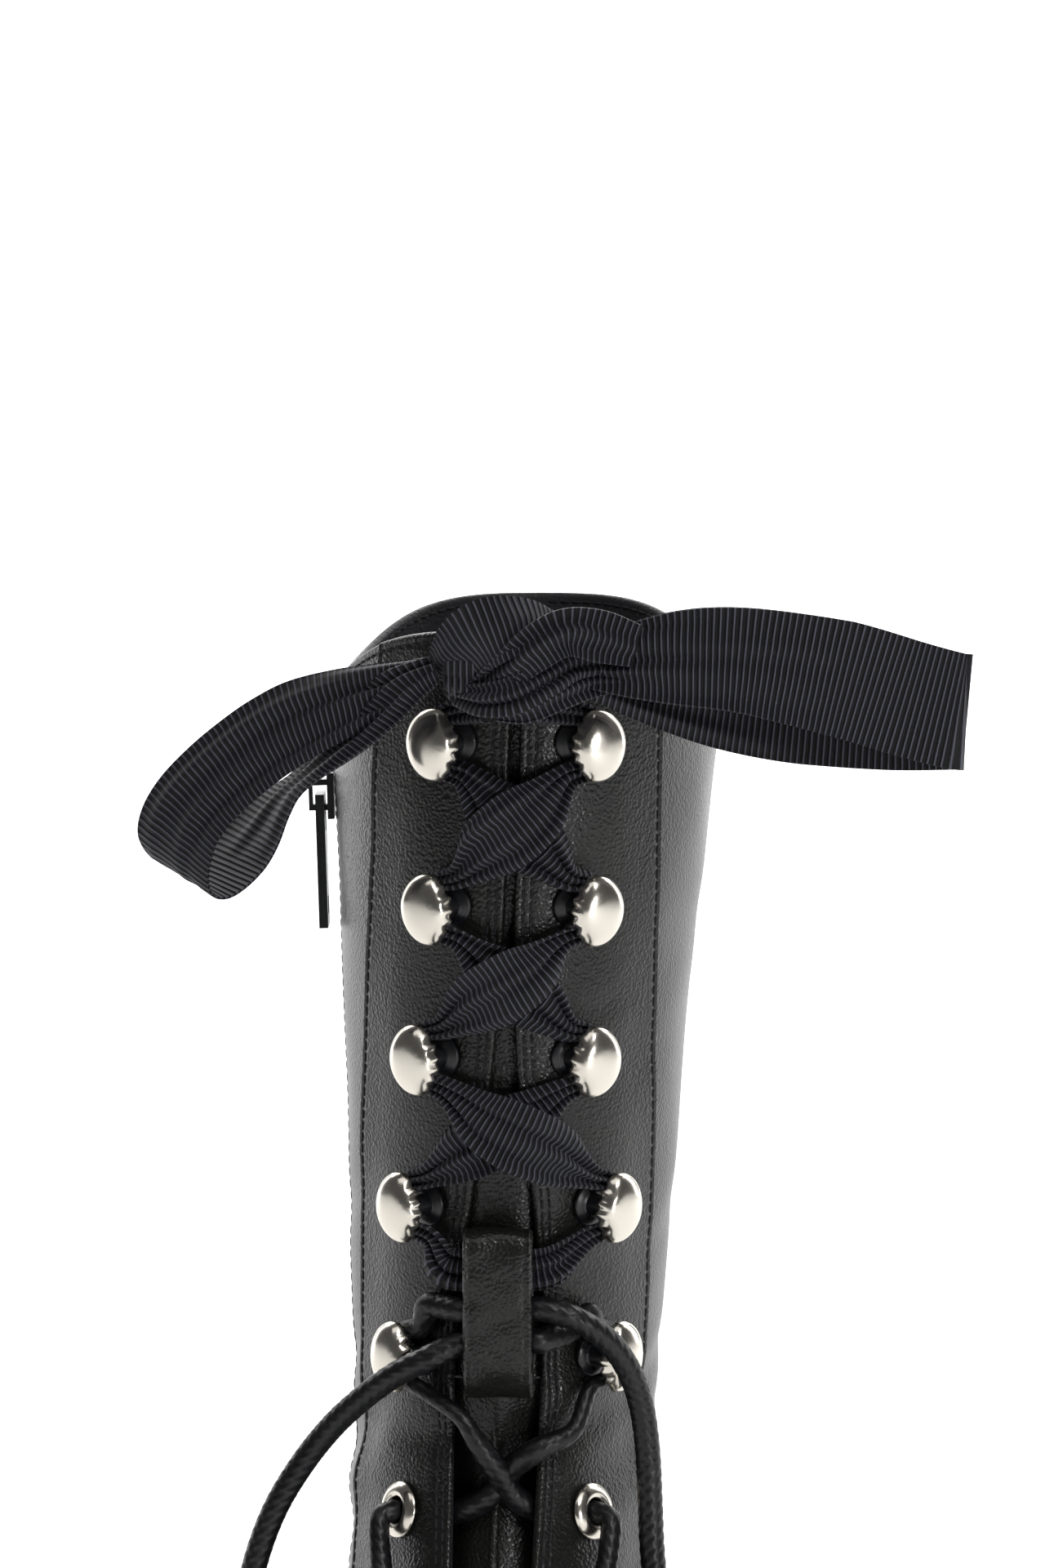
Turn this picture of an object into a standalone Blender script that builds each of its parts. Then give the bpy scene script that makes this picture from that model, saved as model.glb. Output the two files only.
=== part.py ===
"""Left victorian lace up boot, with side zip, boot hooks, ribbon bow and round cord.

Metres, +Z up. The toe points to -Y and the inner side of the foot to -X. The origin is on the
ground, in the middle of the heel's top piece. Tables are in millimetres, one row for each section.
"""

import math
from collections import namedtuple
from functools import lru_cache

import bmesh
import bpy
from mathutils import Matrix, Vector

# Driving dimensions
MM = 0.001
HEEL_BACK_Y = 32 * MM
TOE_Y = -210 * MM
BALL_HALF_WIDTH = 42 * MM
WALL = 2.0 * MM
GAP = 0.3 * MM
SEAM_STEP = 0.8 * MM
SEAM_LAP = 0.4 * MM
SOLE_THICK = 3.5 * MM
SOLE_MARGIN = 1.8 * MM
INSOLE_THICK = 3.0 * MM
INSOLE_MARGIN = 4.6 * MM
TOP_PIECE_THICK = 5.0 * MM
TONGUE_THICK = 1.6 * MM
COLLAR_DIP = 14.4 * MM
CORD_DIAMETER = 5.0 * MM
RIBBON_WIDTH = 22.0 * MM

# One row for each section plane, from the collar to the toe. The plane runs from the front or
# ridge line to the back seam or, where back_z is None, to the middle of the sole.
Section = namedtuple("Section", "front_y front_z back_y back_z centre medial lateral widest crown")
SECTIONS = [
    Section(-58.0, 320.0, 54.0, 320.0, 4.8, -34.8, 44.4, 0.50, 1.00),
    Section(-55.4, 282.0, 49.5, 282.0, 3.5, -33.9, 40.9, 0.50, 1.00),
    Section(-51.6, 244.0, 44.0, 244.0, 2.1, -32.4, 36.6, 0.51, 0.96),
    Section(-48.0, 208.0, 39.0, 208.0, 1.1, -31.6, 33.8, 0.53, 0.90),
    Section(-45.6, 177.0, 36.0, 174.0, 0.2, -31.0, 31.2, 0.55, 0.86),
    Section(-47.6, 153.0, 35.4, 147.0, -0.4, -31.2, 30.6, 0.56, 0.85),
    Section(-54.4, 134.0, 35.8, 122.0, -0.8, -31.8, 31.6, 0.57, 0.86),
    Section(-64.5, 117.0, 36.2, 98.0, -1.0, -32.4, 32.8, 0.58, 0.88),
    Section(-75.5, 104.0, 34.6, 78.0, -1.2, -32.6, 33.4, 0.60, 0.90),
    Section(-84.5, 95.5, 30.2, None, -1.4, -32.6, 33.6, 0.62, 0.92),
    Section(-91.5, 89.5, 22.0, None, -1.6, -32.6, 33.8, 0.62, 0.94),
    Section(-99.0, 83.0, 4.0, None, -1.8, -32.6, 34.2, 0.62, 0.96),
    Section(-107.0, 76.0, -20.0, None, -2.0, -32.8, 34.8, 0.62, 0.98),
    Section(-116.0, 68.5, -48.0, None, -2.4, -33.6, 36.0, 0.62, 1.00),
    Section(-127.0, 60.5, -78.0, None, -2.8, -36.6, 38.8, 0.62, 1.00),
    Section(-139.0, 53.0, -104.0, None, -3.2, -39.8, 41.2, 0.63, 1.00),
    Section(-153.0, 46.0, -128.0, None, -3.6, -40.8, 40.8, 0.64, 1.00),
    Section(-168.0, 40.5, -150.0, None, -4.0, -38.4, 36.4, 0.66, 1.00),
    Section(-182.0, 36.5, -170.0, None, -4.4, -33.2, 29.6, 0.68, 1.00),
    Section(-194.0, 32.0, -187.0, None, -4.6, -26.8, 20.8, 0.70, 1.00),
    Section(-202.0, 26.0, -198.5, None, -4.8, -19.2, 11.2, 0.70, 1.00),
    Section(-206.4, 20.0, -205.3, None, -4.8, -13.6, 4.0, 0.65, 1.00),
    Section(-207.6, 17.5, -208.2, None, -4.8, -4.8, -4.8, 0.60, 1.00),
]
LAST_ROW = len(SECTIONS) - 1
CORNER_ROW = 9
THROAT_END = 11.3
VAMP_ROW = 12.0
ZIP_END = 7.0

# Along the sections: half the throat's width, and the panel seam and the zip as shares of the
# way round each side.
Opening = namedtuple("Opening", "row throat seam zip")
OPENINGS = [
    Opening(0.0, 0.9, 0.215, 0.480),
    Opening(1.4, 0.9, 0.260, 0.490),
    Opening(2.2, 2.2, 0.300, 0.500),
    Opening(3.0, 6.5, 0.340, 0.510),
    Opening(4.1, 9.6, 0.370, 0.520),
    Opening(5.4, 9.2, 0.390, 0.530),
    Opening(8.0, 7.0, 0.450, 0.590),
    Opening(9.8, 5.2, 0.470, 0.620),
    Opening(11.3, 3.6, 0.490, 0.640),
    Opening(12.0, 3.4, 0.500, 0.650),
    Opening(22.0, 3.0, 0.500, 0.650),
]
ZIP_SLOT = 6.0 * MM
SLOT_MOST_SHARE = 0.08

# Underside of the outsole along the foot
SOLE_LINE = [
    (-210.0, 10.5), (-202.0, 7.6), (-190.0, 4.2), (-176.0, 1.4), (-164.0, 0.0),
    (-118.0, 0.0), (-108.0, 1.6), (-98.0, 5.4), (-84.0, 11.8), (-68.0, 20.6),
    (-50.0, 31.4), (-34.0, 40.4), (-18.0, 47.2), (0.0, 52.0), (34.0, 57.6),
]

# Plan of the outsole's edge
Plan = namedtuple("Plan", "y medial lateral")
SOLE_PLAN = [
    Plan(28.0, -14.0, 14.0),
    Plan(20.0, -22.5, 22.5),
    Plan(8.0, -27.5, 27.5),
    Plan(-8.0, -28.5, 28.5),
    Plan(-26.0, -26.5, 28.0),
    Plan(-46.0, -23.5, 28.5),
    Plan(-66.0, -25.0, 32.0),
    Plan(-88.0, -32.0, 37.5),
    Plan(-108.0, -39.0, 41.0),
    Plan(-124.0, -41.5, 42.0),
    Plan(-142.0, -40.5, 39.5),
    Plan(-160.0, -37.0, 34.0),
    Plan(-176.0, -32.0, 27.0),
    Plan(-190.0, -26.0, 19.0),
    Plan(-201.0, -18.5, 10.0),
]
TOE_X = -5.0

# Heel block, from its seat down: share of its height, and its plan at that height
HeelRow = namedtuple("HeelRow", "share back breast half_width")
HEEL_ROWS = [
    HeelRow(0.00, 31.4, -23.0, 28.0),
    HeelRow(0.12, 29.2, -21.6, 26.4),
    HeelRow(0.32, 24.6, -19.2, 22.4),
    HeelRow(0.56, 20.4, -17.6, 19.0),
    HeelRow(0.80, 18.6, -17.2, 17.8),
    HeelRow(1.00, 19.0, -18.0, 18.4),
]

# Boot hooks, from the top: height, and the dome's middle left and right as seen from the front
HookRow = namedtuple("HookRow", "height left right")
HOOK_ROWS = [
    HookRow(298.7, -11.5, 20.2),
    HookRow(266.8, -12.8, 19.9),
    HookRow(237.0, -15.6, 19.5),
    HookRow(207.2, -19.1, 24.0),
    HookRow(176.6, -20.8, 24.4),
]
# A hook's turned profile: radius, height above the leather, and shift away from the throat
HookRing = namedtuple("HookRing", "radius height shift")
HOOK_RINGS = [
    HookRing(4.4, 0.0, 0.0),
    HookRing(4.4, 0.7, 0.0),
    HookRing(2.3, 1.2, 0.0),
    HookRing(2.2, 4.8, 0.2),
    HookRing(5.4, 5.2, 1.7),
    HookRing(5.9, 5.9, 1.9),
    HookRing(5.2, 7.1, 1.9),
    HookRing(3.0, 8.1, 1.9),
]
HOOK_DOME_SHIFT = 1.9 * MM
HOOK_DOME_LONG = 1.2
HOOK_DOME_MIDDLE = 6.4 * MM
HOOK_TOP = 8.5 * MM
# A lace's way round a hook's neck: away from the throat and up, from the rivet
HOOK_TURN = [(-3.0, -6.4), (2.0, -4.7), (4.7, 0.0), (2.0, 4.7), (-3.0, 6.4)]

# Eyelets, from the top: row, and distance from the throat's middle line
EyeletRow = namedtuple("EyeletRow", "row offset")
EYELET_ROWS = [
    EyeletRow(5.32, 23.0),
    EyeletRow(6.72, 22.0),
    EyeletRow(8.30, 20.6),
    EyeletRow(10.10, 18.8),
]
EYELET_HOLE = 7.2 * MM
EyeletRing = namedtuple("EyeletRing", "radius height")
EYELET_RINGS = [
    EyeletRing(2.5, 0.9),
    EyeletRing(3.6, 1.5),
    EyeletRing(5.6, 0.5),
    EyeletRing(3.2, 0.0),
    EyeletRing(3.2, -2.2),
    EyeletRing(2.5, -2.2),
]

# Zip tape and coil
TAPE_HALF_WIDTH = 6.2 * MM
TAPE_THICK = 0.8 * MM
TAPE_GAP = 1.6 * GAP
COIL_HALF_WIDTH = 2.3 * MM
COIL_DEPTH = 0.5 * MM
ZIP_FOOT = ZIP_END + 0.3

# Zip slider and pull, in the slider's own frame: across the zip, along it and out of it
SLIDER_ROW = 0.76
SLIDER_HALF_WIDTH = 4.0 * MM
SLIDER_HALF_LENGTH = 4.6 * MM
SLIDER_LOW = 0.4 * MM
SLIDER_TOP = 1.7 * MM
BAIL_HALF_WIDTH = 1.2 * MM
BAIL_HALF_LENGTH = 3.1 * MM
BAIL_HOLE_HALF = 1.9 * MM
BAIL_HOLE_TOP = 4.7 * MM
BAIL_TOP = 5.5 * MM
PULL_PIVOT_ALONG = -0.4 * MM
PULL_PIVOT_OUT = 3.2 * MM
PULL_HALF_WIDTH = 4.4 * MM
PULL_HOLE_HALF = 1.7 * MM
PULL_THICK = 1.8 * MM
# Along the pull from its pivot: top, slot, hole and foot
PULL_TOP = 0.8 * MM
PULL_SLOT = (-0.7 * MM, -7.0 * MM)
PULL_HOLE = (-20.0 * MM, -23.6 * MM)
PULL_FOOT = -26.0 * MM

# The keeper's loop on the tongue, seen from the side: height and lift over the leather
KEEPER_HALF_WIDTH = 6.7 * MM
KEEPER_THICK = 1.3 * MM
KEEPER_LOOP = [
    (171.2, -1.4), (186.0, -1.45), (199.6, -1.5), (202.4, 0.2), (203.2, 3.0), (201.8, 5.4),
    (198.0, 6.4), (188.0, 6.6), (178.0, 6.2), (173.6, 4.0), (171.0, 1.0),
]
KEEPER_Y = -48.4 * MM

# The ribbon's lacing: lift and widths round a hook's neck, then lift beside a crossing and, where
# two strands cross, over and under, with its width and thickness, all in millimetres
RIBBON_TURN_LIFT = 2.7
RIBBON_TURN_WIDTHS = (5.0, 3.6, 3.4, 3.6, 5.0)
RIBBON_TURN_THICK = 2.2
RIBBON_SIDE_LIFT, RIBBON_OVER_LIFT, RIBBON_UNDER_LIFT = 3.0, 4.7, 1.5
RIBBON_SIDE_WIDTH, RIBBON_CROSS_WIDTH, RIBBON_CROSS_THICK = 9.5, 12.5, 1.4
# Where it leaves the top hooks for the knot: x right and left, y and height, width and thickness
RIBBON_TOP_X, RIBBON_TOP_Y, RIBBON_TOP_Z = (8.5, -1.5), -61.6, 305.2
RIBBON_TOP_WIDTH, RIBBON_TOP_THICK = 4.4, 2.0
# Through the keeper: x, height, width and thickness
RIBBON_IN_KEEPER = [(-9.5, 195.6, 8.0, 2.6), (0.5, 195.2, 8.4, 3.0), (10.5, 195.8, 8.0, 2.6)]

# The tongue: rows of its top and foot, half its width and the share of it at its top
TONGUE_TOP_ROW, TONGUE_FOOT_ROW = 0.3, 12.6
TONGUE_HALF_WIDTH = 17.0 * MM
TONGUE_TOP_SHARE = 0.72
# Depth below the leather: close to it above and below, and deep where the cord passes
TONGUE_CLOSE = WALL + 2.4 * GAP
TONGUE_DEEP = WALL + CORD_DIAMETER + 3 * GAP
TONGUE_DEPTHS = [
    (0.0, TONGUE_CLOSE), (4.1, TONGUE_CLOSE), (5.0, TONGUE_DEEP), (10.4, TONGUE_DEEP),
    (11.6, TONGUE_CLOSE),
]

# The round cord: lift behind the facing, at its bars' ends and middles, and round a hook's neck
CORD_LIFT = -5.1
CORD_BAR_END_LIFT, CORD_BAR_MIDDLE_LIFT = 5.0 * MM, 4.6
CORD_TURN_LIFT, CORD_TURN_SHARE, CORD_BESIDE_TURN_SHARE = 2.5, 0.66, 0.85
# Its low crossing and its foot bar: row and offset from the throat's middle line
CORD_CROSSING = [(6.90, 7.6), (7.25, 3.6), (7.5, 0.0), (7.75, -3.6), (8.12, -7.4)]
CORD_FOOT_OFFSETS = (-6.0, 0.0, 6.0)
# Between the eyelets and the keeper: x, height and lift over the leather
STRAND_LEFT = [
    (12.5, 146.6, -5.2), (7.6, 148.9, -5.1), (3.4, 151.8, -4.6), (0.0, 155.6, -2.6),
    (-3.2, 160.6, 0.2), (-6.2, 165.8, 2.4),
]
STRAND_LEFT_TO_KEEPER = [(-11.6, 187.4, 3.2), (-9.2, 187.6, 3.2)]
STRAND_LEFT_END = (-5.5, 187.2)
STRAND_RIGHT = [
    (-12.5, 146.6, -5.2), (-7.0, 148.6, -5.1), (-1.8, 151.0, -4.6), (1.8, 153.6, -2.6),
    (4.4, 156.4, 0.4), (7.4, 159.4, 3.1), (12.6, 162.6, 3.9),
]
STRAND_RIGHT_TO_KEEPER = [(16.0, 185.6, 3.0), (11.8, 182.6, 3.2)]
STRAND_RIGHT_END = (7.3, 181.3)

# The two free ends of the round cord, from inside the keeper down beside the boot
CORD_END_LEFT = [
    (6.5, -48.4, 181.3), (1.0, -48.4, 181.4), (-4.0, -48.4, 181.3), (-8.0, -48.6, 180.3),
    (-14.0, -49.4, 177.4), (-20.0, -47.8, 174.0), (-26.0, -45.2, 169.2), (-32.3, -43.0, 163.0),
    (-38.5, -42.0, 155.0), (-44.0, -41.5, 145.5), (-48.0, -41.2, 134.0), (-50.5, -41.2, 120.0),
    (-52.0, -41.5, 105.0), (-52.8, -42.0, 90.0), (-53.0, -42.5, 75.0), (-53.0, -43.0, 60.0),
    (-53.0, -43.5, 46.0),
]
CORD_END_RIGHT = [
    (-4.7, -48.4, 187.2), (0.7, -48.4, 187.3), (5.6, -48.4, 187.4), (10.4, -48.9, 187.4),
    (16.4, -48.4, 185.2), (22.0, -45.5, 180.5), (25.8, -43.0, 174.5), (28.2, -41.0, 167.0),
    (29.4, -40.2, 158.0), (29.9, -40.2, 148.0), (30.4, -41.0, 138.0), (31.8, -43.0, 126.0),
    (34.8, -46.0, 114.0), (38.6, -50.0, 102.0), (42.0, -53.0, 90.0), (44.0, -55.0, 77.0),
    (45.0, -56.0, 63.0), (45.2, -57.0, 49.0),
]
CORD_POINTS = 27
AGLET_LENGTH = 18 * MM
AGLET_RADIUS = 2.2 * MM

# The bow's loops: middle line, and share of the ribbon's width that lies open there
BowRow = namedtuple("BowRow", "x y z share")
BOW_LEFT = [
    BowRow(-9.6, -66.0, 314.6, 0.41),
    BowRow(-15.0, -66.0, 313.8, 0.64),
    BowRow(-22.0, -65.5, 311.4, 0.82),
    BowRow(-31.8, -65.0, 306.6, 1.00),
    BowRow(-41.9, -64.5, 301.0, 1.00),
    BowRow(-50.9, -64.0, 294.0, 1.00),
    BowRow(-57.8, -64.0, 286.4, 1.00),
    BowRow(-60.6, -65.0, 278.6, 1.00),
    BowRow(-57.4, -67.0, 272.2, 1.00),
    BowRow(-51.6, -69.0, 273.2, 1.00),
    BowRow(-47.0, -70.0, 279.4, 1.00),
    BowRow(-39.4, -71.5, 288.3, 0.95),
    BowRow(-32.2, -73.0, 295.8, 0.86),
    BowRow(-25.1, -74.0, 302.8, 0.73),
    BowRow(-17.2, -74.5, 309.2, 0.55),
    BowRow(-9.8, -73.5, 312.8, 0.41),
]
BOW_LEFT_WIDE = (0.38, -0.80, -0.42)
BOW_RIGHT = [
    BowRow(19.1, -71.5, 315.2, 0.45),
    BowRow(27.0, -73.0, 315.8, 0.64),
    BowRow(37.0, -74.0, 316.2, 0.82),
    BowRow(50.0, -74.0, 315.6, 0.91),
    BowRow(66.0, -73.0, 312.6, 1.00),
    BowRow(80.0, -71.0, 308.4, 1.00),
    BowRow(88.0, -69.4, 306.2, 1.00),
    BowRow(90.2, -67.4, 305.8, 1.00),
    BowRow(88.0, -65.6, 305.7, 1.00),
    BowRow(76.0, -65.0, 305.5, 1.00),
    BowRow(60.0, -65.0, 306.5, 1.00),
    BowRow(45.0, -65.0, 308.2, 0.91),
    BowRow(30.0, -65.5, 310.8, 0.68),
    BowRow(19.9, -66.0, 313.0, 0.45),
]
BOW_RIGHT_WIDE = (-0.14, -0.10, -1.0)
RIBBON_THICK = 1.2 * MM

# The knot, from its left end to its right: place along X, and half its depth and height
KnotRow = namedtuple("KnotRow", "x half_y half_z")
KNOT_ROWS = [
    KnotRow(-8.8, 4.5, 5.5),
    KnotRow(-6.0, 6.5, 8.0),
    KnotRow(-1.0, 7.8, 9.4),
    KnotRow(5.0, 8.2, 9.8),
    KnotRow(11.5, 7.8, 9.0),
    KnotRow(16.0, 6.4, 7.0),
    KnotRow(18.4, 4.6, 5.2),
]
KNOT_Y = -68.0 * MM
KNOT_Z = 314.2 * MM


def eased(points, place):
    """Height at a place on a smooth line through (place, height) points."""
    places = [p[0] for p in points]
    heights = [p[1] for p in points]
    last = len(points) - 1
    place = min(max(place, places[0]), places[last])
    slopes = [(heights[i + 1] - heights[i]) / (places[i + 1] - places[i]) for i in range(last)]
    i = 0
    while i < last - 1 and places[i + 1] < place:
        i += 1

    def tangent(k):
        if k == 0 or k == last:
            return slopes[min(k, last - 1)]
        before, after = slopes[k - 1], slopes[k]
        return 0.0 if before * after <= 0 else 2 * before * after / (before + after)

    width = places[i + 1] - places[i]
    t = (place - places[i]) / width
    start, end = heights[i], heights[i + 1]
    rise, fall = tangent(i) * width, tangent(i + 1) * width
    return (
        start + rise * t
        + (3 * (end - start) - 2 * rise - fall) * t * t
        + (2 * (start - end) + rise + fall) * t ** 3
    )


def through(values, at):
    """Value at a fractional index of a smooth curve through a list of values or vectors."""
    last = len(values) - 1
    at = min(max(at, 0.0), last)
    i = min(int(at), last - 1)
    t = at - i
    here, following = values[i], values[i + 1]
    before = values[i - 1] if i > 0 else 2 * here - following
    after = values[i + 2] if i + 2 <= last else 2 * following - here
    return 0.5 * (
        2 * here + (following - before) * t
        + (2 * before - 5 * here + 4 * following - after) * t * t
        + (3 * here - before - 3 * following + after) * t ** 3
    )


def sole_bottom(y):
    """Height of the outsole's underside."""
    return eased(SOLE_LINE, y / MM) * MM


def seat(y):
    """Height at which the upper meets the outsole."""
    return sole_bottom(y) + SOLE_THICK + GAP


@lru_cache(maxsize=None)
def plan_edge(side):
    """The sole's edge on one side, from the heel's back to the toe, as points that fall in Y."""
    near = [Vector((r.lateral if side > 0 else r.medial, r.y)) for r in SOLE_PLAN]
    far = [Vector((r.medial if side > 0 else r.lateral, r.y)) for r in SOLE_PLAN]
    heel = Vector((0.0, HEEL_BACK_Y / MM))
    toe = Vector((TOE_X, TOE_Y / MM))
    route = [far[0], heel] + near + [toe, far[-1]]
    steps = 12
    count = (len(route) - 3) * steps
    return [through(route, 1 + k / steps) * MM for k in range(count + 1)]


def plan_x(y, side, inset=0.0):
    """X of the sole's edge at y, drawn in all round by an inset."""
    middle = (HEEL_BACK_Y + TOE_Y) / 2
    half = (HEEL_BACK_Y - TOE_Y) / 2
    wanted = middle + (y - middle) * half / (half - inset)
    points = plan_edge(side)
    wanted = min(max(wanted, points[-1].y), points[0].y)
    low, high = 0, len(points) - 1
    while high - low > 1:
        mid = (low + high) // 2
        if points[mid].y >= wanted:
            low = mid
        else:
            high = mid
    a, b = points[low], points[high]
    t = (a.y - wanted) / (a.y - b.y) if a.y > b.y else 0.0
    return (a.x + (b.x - a.x) * t) * (1 - inset / BALL_HALF_WIDTH)


@lru_cache(maxsize=None)
def column(name):
    """One column of the section table."""
    return [getattr(row, name) for row in SECTIONS]


def opening(name, row):
    """A throat, seam or zip measure at a row."""
    return eased([(r.row, getattr(r, name)) for r in OPENINGS], row)


@lru_cache(maxsize=None)
def half_section(row, side):
    """Points and running lengths of one side of a section, from its front to its back."""
    front = Vector((through(column("front_y"), row), through(column("front_z"), row))) * MM
    back_y = through(column("back_y"), row) * MM
    heights = [r.back_z if r.back_z is not None else seat(r.back_y * MM) / MM for r in SECTIONS]
    on_sole = row >= CORNER_ROW
    back_z = seat(back_y) if on_sole else through(heights, row) * MM
    span = Vector((back_y, back_z)) - front
    ridge = through(column("centre"), row) * MM
    edge = plan_x(back_y, side, SOLE_MARGIN) if on_sole else max(ridge, 0.0)
    if on_sole and row >= LAST_ROW:
        edge = ridge
    widest = through(column("lateral" if side > 0 else "medial"), row) * MM
    if on_sole and row < LAST_ROW:
        widest = side * max(side * widest, side * edge + 0.3 * MM)
    middle = through(column("widest"), row)
    crown = through(column("crown"), row)
    points = []
    steps = 24
    for k in range(2 * steps + 1):
        if k <= steps:
            angle = math.pi / 2 * k / steps
            x = ridge + (widest - ridge) * math.sin(angle)
            share = middle * (1 - math.cos(angle)) ** crown
        else:
            angle = math.pi / 2 * (k - steps) / steps
            x = edge + (widest - edge) * math.cos(angle)
            share = middle + (1 - middle) * math.sin(angle)
        place = front + span * share
        points.append(Vector((x, place.x, place.y)))
    lengths = [0.0]
    for a, b in zip(points, points[1:]):
        lengths.append(lengths[-1] + (b - a).length)
    return points, lengths


def on_section(row, share, side):
    """Point at a share of the way round one side of a section."""
    row = round(min(max(row, 0.0), LAST_ROW), 5)
    points, lengths = half_section(row, side)
    wanted = min(max(share, 0.0), 1.0) * lengths[-1]
    low, high = 0, len(lengths) - 1
    while high - low > 1:
        mid = (low + high) // 2
        if lengths[mid] <= wanted:
            low = mid
        else:
            high = mid
    t = (wanted - lengths[low]) / max(lengths[high] - lengths[low], 1e-9)
    return points[low].lerp(points[high], t)


def skin(row, share, side):
    """Point of the leather's outer face, with the collar's dip at the sides taken off."""
    fade = 1.6
    if row < fade:
        flat = on_section(row, share, side)
        centre = through(column("centre"), row) * MM
        widest = through(column("lateral" if side > 0 else "medial"), row) * MM
        lean = min(abs((flat.x - centre) / (widest - centre)), 1.0)
        row_height = (SECTIONS[0].front_z - SECTIONS[1].front_z) * MM
        row += COLLAR_DIP * lean ** 4 / row_height * (1 - row / fade)
    return on_section(row, share, side)


def slope_normal(row, share, side):
    """Unit normal of one side's outer face."""
    along, across = 0.06, 0.02
    up = skin(row - along, share, side) - skin(row + along, share, side)
    low_share, high_share = max(share - across, 0.0), min(share + across, 1.0)
    round_way = skin(row, high_share, side) - skin(row, low_share, side)
    return (round_way.cross(up) * side).normalized()


def outward(row, share, side):
    """Unit normal of the outer face, the same for both sides where they meet."""
    normal = slope_normal(row, share, side)
    if share <= 0 or (share >= 1 and row < CORNER_ROW) or row >= LAST_ROW:
        normal = normal + slope_normal(row, share, -side)
        normal.x = 0.0
    return normal.normalized()


def half_length(row, side):
    """Length round one side of a section."""
    return half_section(round(min(row, LAST_ROW), 5), side)[1][-1]


def front_place(x, z):
    """Row, share and side of the point of the front that has this x and z."""
    row, share, side = 2.0, 0.1, 1
    for _ in range(4):
        low, high = 0.0, float(VAMP_ROW)
        for _ in range(30):
            row = (low + high) / 2
            low, high = (row, high) if skin(row, share, side).z > z else (low, row)
        ridge = through(column("centre"), row) * MM
        side = 1 if x >= ridge else -1
        low, high = 0.0, 0.5
        for _ in range(30):
            share = (low + high) / 2
            reached = side * (skin(row, share, side).x - x) >= 0
            low, high = (low, share) if reached else (share, high)
    return row, share, side


def above_front(x, z, lift):
    """Point at a lift over the leather's front, and the normal there."""
    row, share, side = front_place(x, z)
    normal = outward(row, max(share, 0.004), side)
    return skin(row, share, side) + normal * lift, normal


def material(name, colour, roughness, metallic=0.0):
    made = bpy.data.materials.get(name) or bpy.data.materials.new(name)
    made.use_nodes = True
    shader = made.node_tree.nodes["Principled BSDF"]
    shader.inputs["Base Color"].default_value = (*colour, 1.0)
    shader.inputs["Roughness"].default_value = roughness
    shader.inputs["Metallic"].default_value = metallic
    return made


def black_leather():
    return material("black_leather", (0.012, 0.012, 0.014), 0.42)


def sole_leather():
    return material("sole_leather", (0.02, 0.018, 0.017), 0.6)


def lining_leather():
    return material("lining_leather", (0.02, 0.018, 0.016), 0.65)


def stack_leather():
    return material("heel_cover", (0.012, 0.011, 0.011), 0.38)


def heel_rubber():
    return material("heel_rubber", (0.015, 0.015, 0.015), 0.8)


def nickel():
    return material("polished_nickel", (0.75, 0.73, 0.68), 0.12, 1.0)


def zip_tape():
    return material("zip_tape", (0.01, 0.01, 0.011), 0.8)


def black_metal():
    return material("black_metal", (0.015, 0.016, 0.018), 0.35, 0.6)


def grosgrain():
    return material("grosgrain_ribbon", (0.012, 0.011, 0.02), 0.6)


def waxed_cord():
    return material("waxed_cord", (0.01, 0.01, 0.012), 0.5)


def new_object(name, points, faces, look, place=None):
    """A mesh object from points and faces, with its faces turned outward."""
    mesh = bpy.data.meshes.new(name)
    work = bmesh.new()
    corners = [work.verts.new(p) for p in points]
    for face in faces:
        work.faces.new([corners[k] for k in face])
    bmesh.ops.recalc_face_normals(work, faces=work.faces)
    work.to_mesh(mesh)
    work.free()
    mesh.shade_smooth()
    mesh.set_sharp_from_angle(angle=math.radians(35))
    mesh.materials.append(look)
    made = bpy.data.objects.new(name, mesh)
    if place is not None:
        made.matrix_world = place
    bpy.context.collection.objects.link(made)
    return made


def loft(name, rings, look, place=None):
    """A closed solid through rings of equal count, with flat ends."""
    count = len(rings[0])
    points = [p for ring in rings for p in ring]
    faces = []
    for r in range(len(rings) - 1):
        for k in range(count):
            after = (k + 1) % count
            faces.append((
                r * count + k,
                r * count + after,
                (r + 1) * count + after,
                (r + 1) * count + k,
            ))
    last = (len(rings) - 1) * count
    faces.append(tuple(range(count)))
    faces.append(tuple(last + k for k in range(count)))
    return new_object(name, points, faces, look, place)


def walled(name, cells, look):
    """A closed wall from cells of (outer, inner) point pairs; cells share their equal corners."""
    outer, inner, number, faces = [], [], {}, []

    def corner(pair):
        key = tuple(round(c / (0.002 * MM)) for c in pair[0])
        if key not in number:
            number[key] = len(outer)
            outer.append(pair[0])
            inner.append(pair[1])
        return number[key]

    for cell in cells:
        face = [corner(pair) for pair in cell]
        face = [k for i, k in enumerate(face) if k != face[i - 1]]
        if len(face) > 2:
            faces.append(tuple(face))
    edges = {}
    for face in faces:
        for a, b in zip(face, face[1:] + face[:1]):
            edges[(a, b)] = edges.get((a, b), 0) + 1
    shift = len(outer)
    rims = [(b, a, a + shift, b + shift) for a, b in edges if (b, a) not in edges]
    inside = [tuple(k + shift for k in reversed(face)) for face in faces]
    return new_object(name, outer + inner, faces + inside + rims, look)


def frame_at(point, normal, up):
    """Matrix whose Z is the normal and whose Y is as near to up as it can be."""
    across = up.cross(normal).normalized()
    rise = normal.cross(across).normalized()
    basis = Matrix((across, rise, normal)).transposed()
    return Matrix.Translation(point) @ basis.to_4x4()


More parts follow.
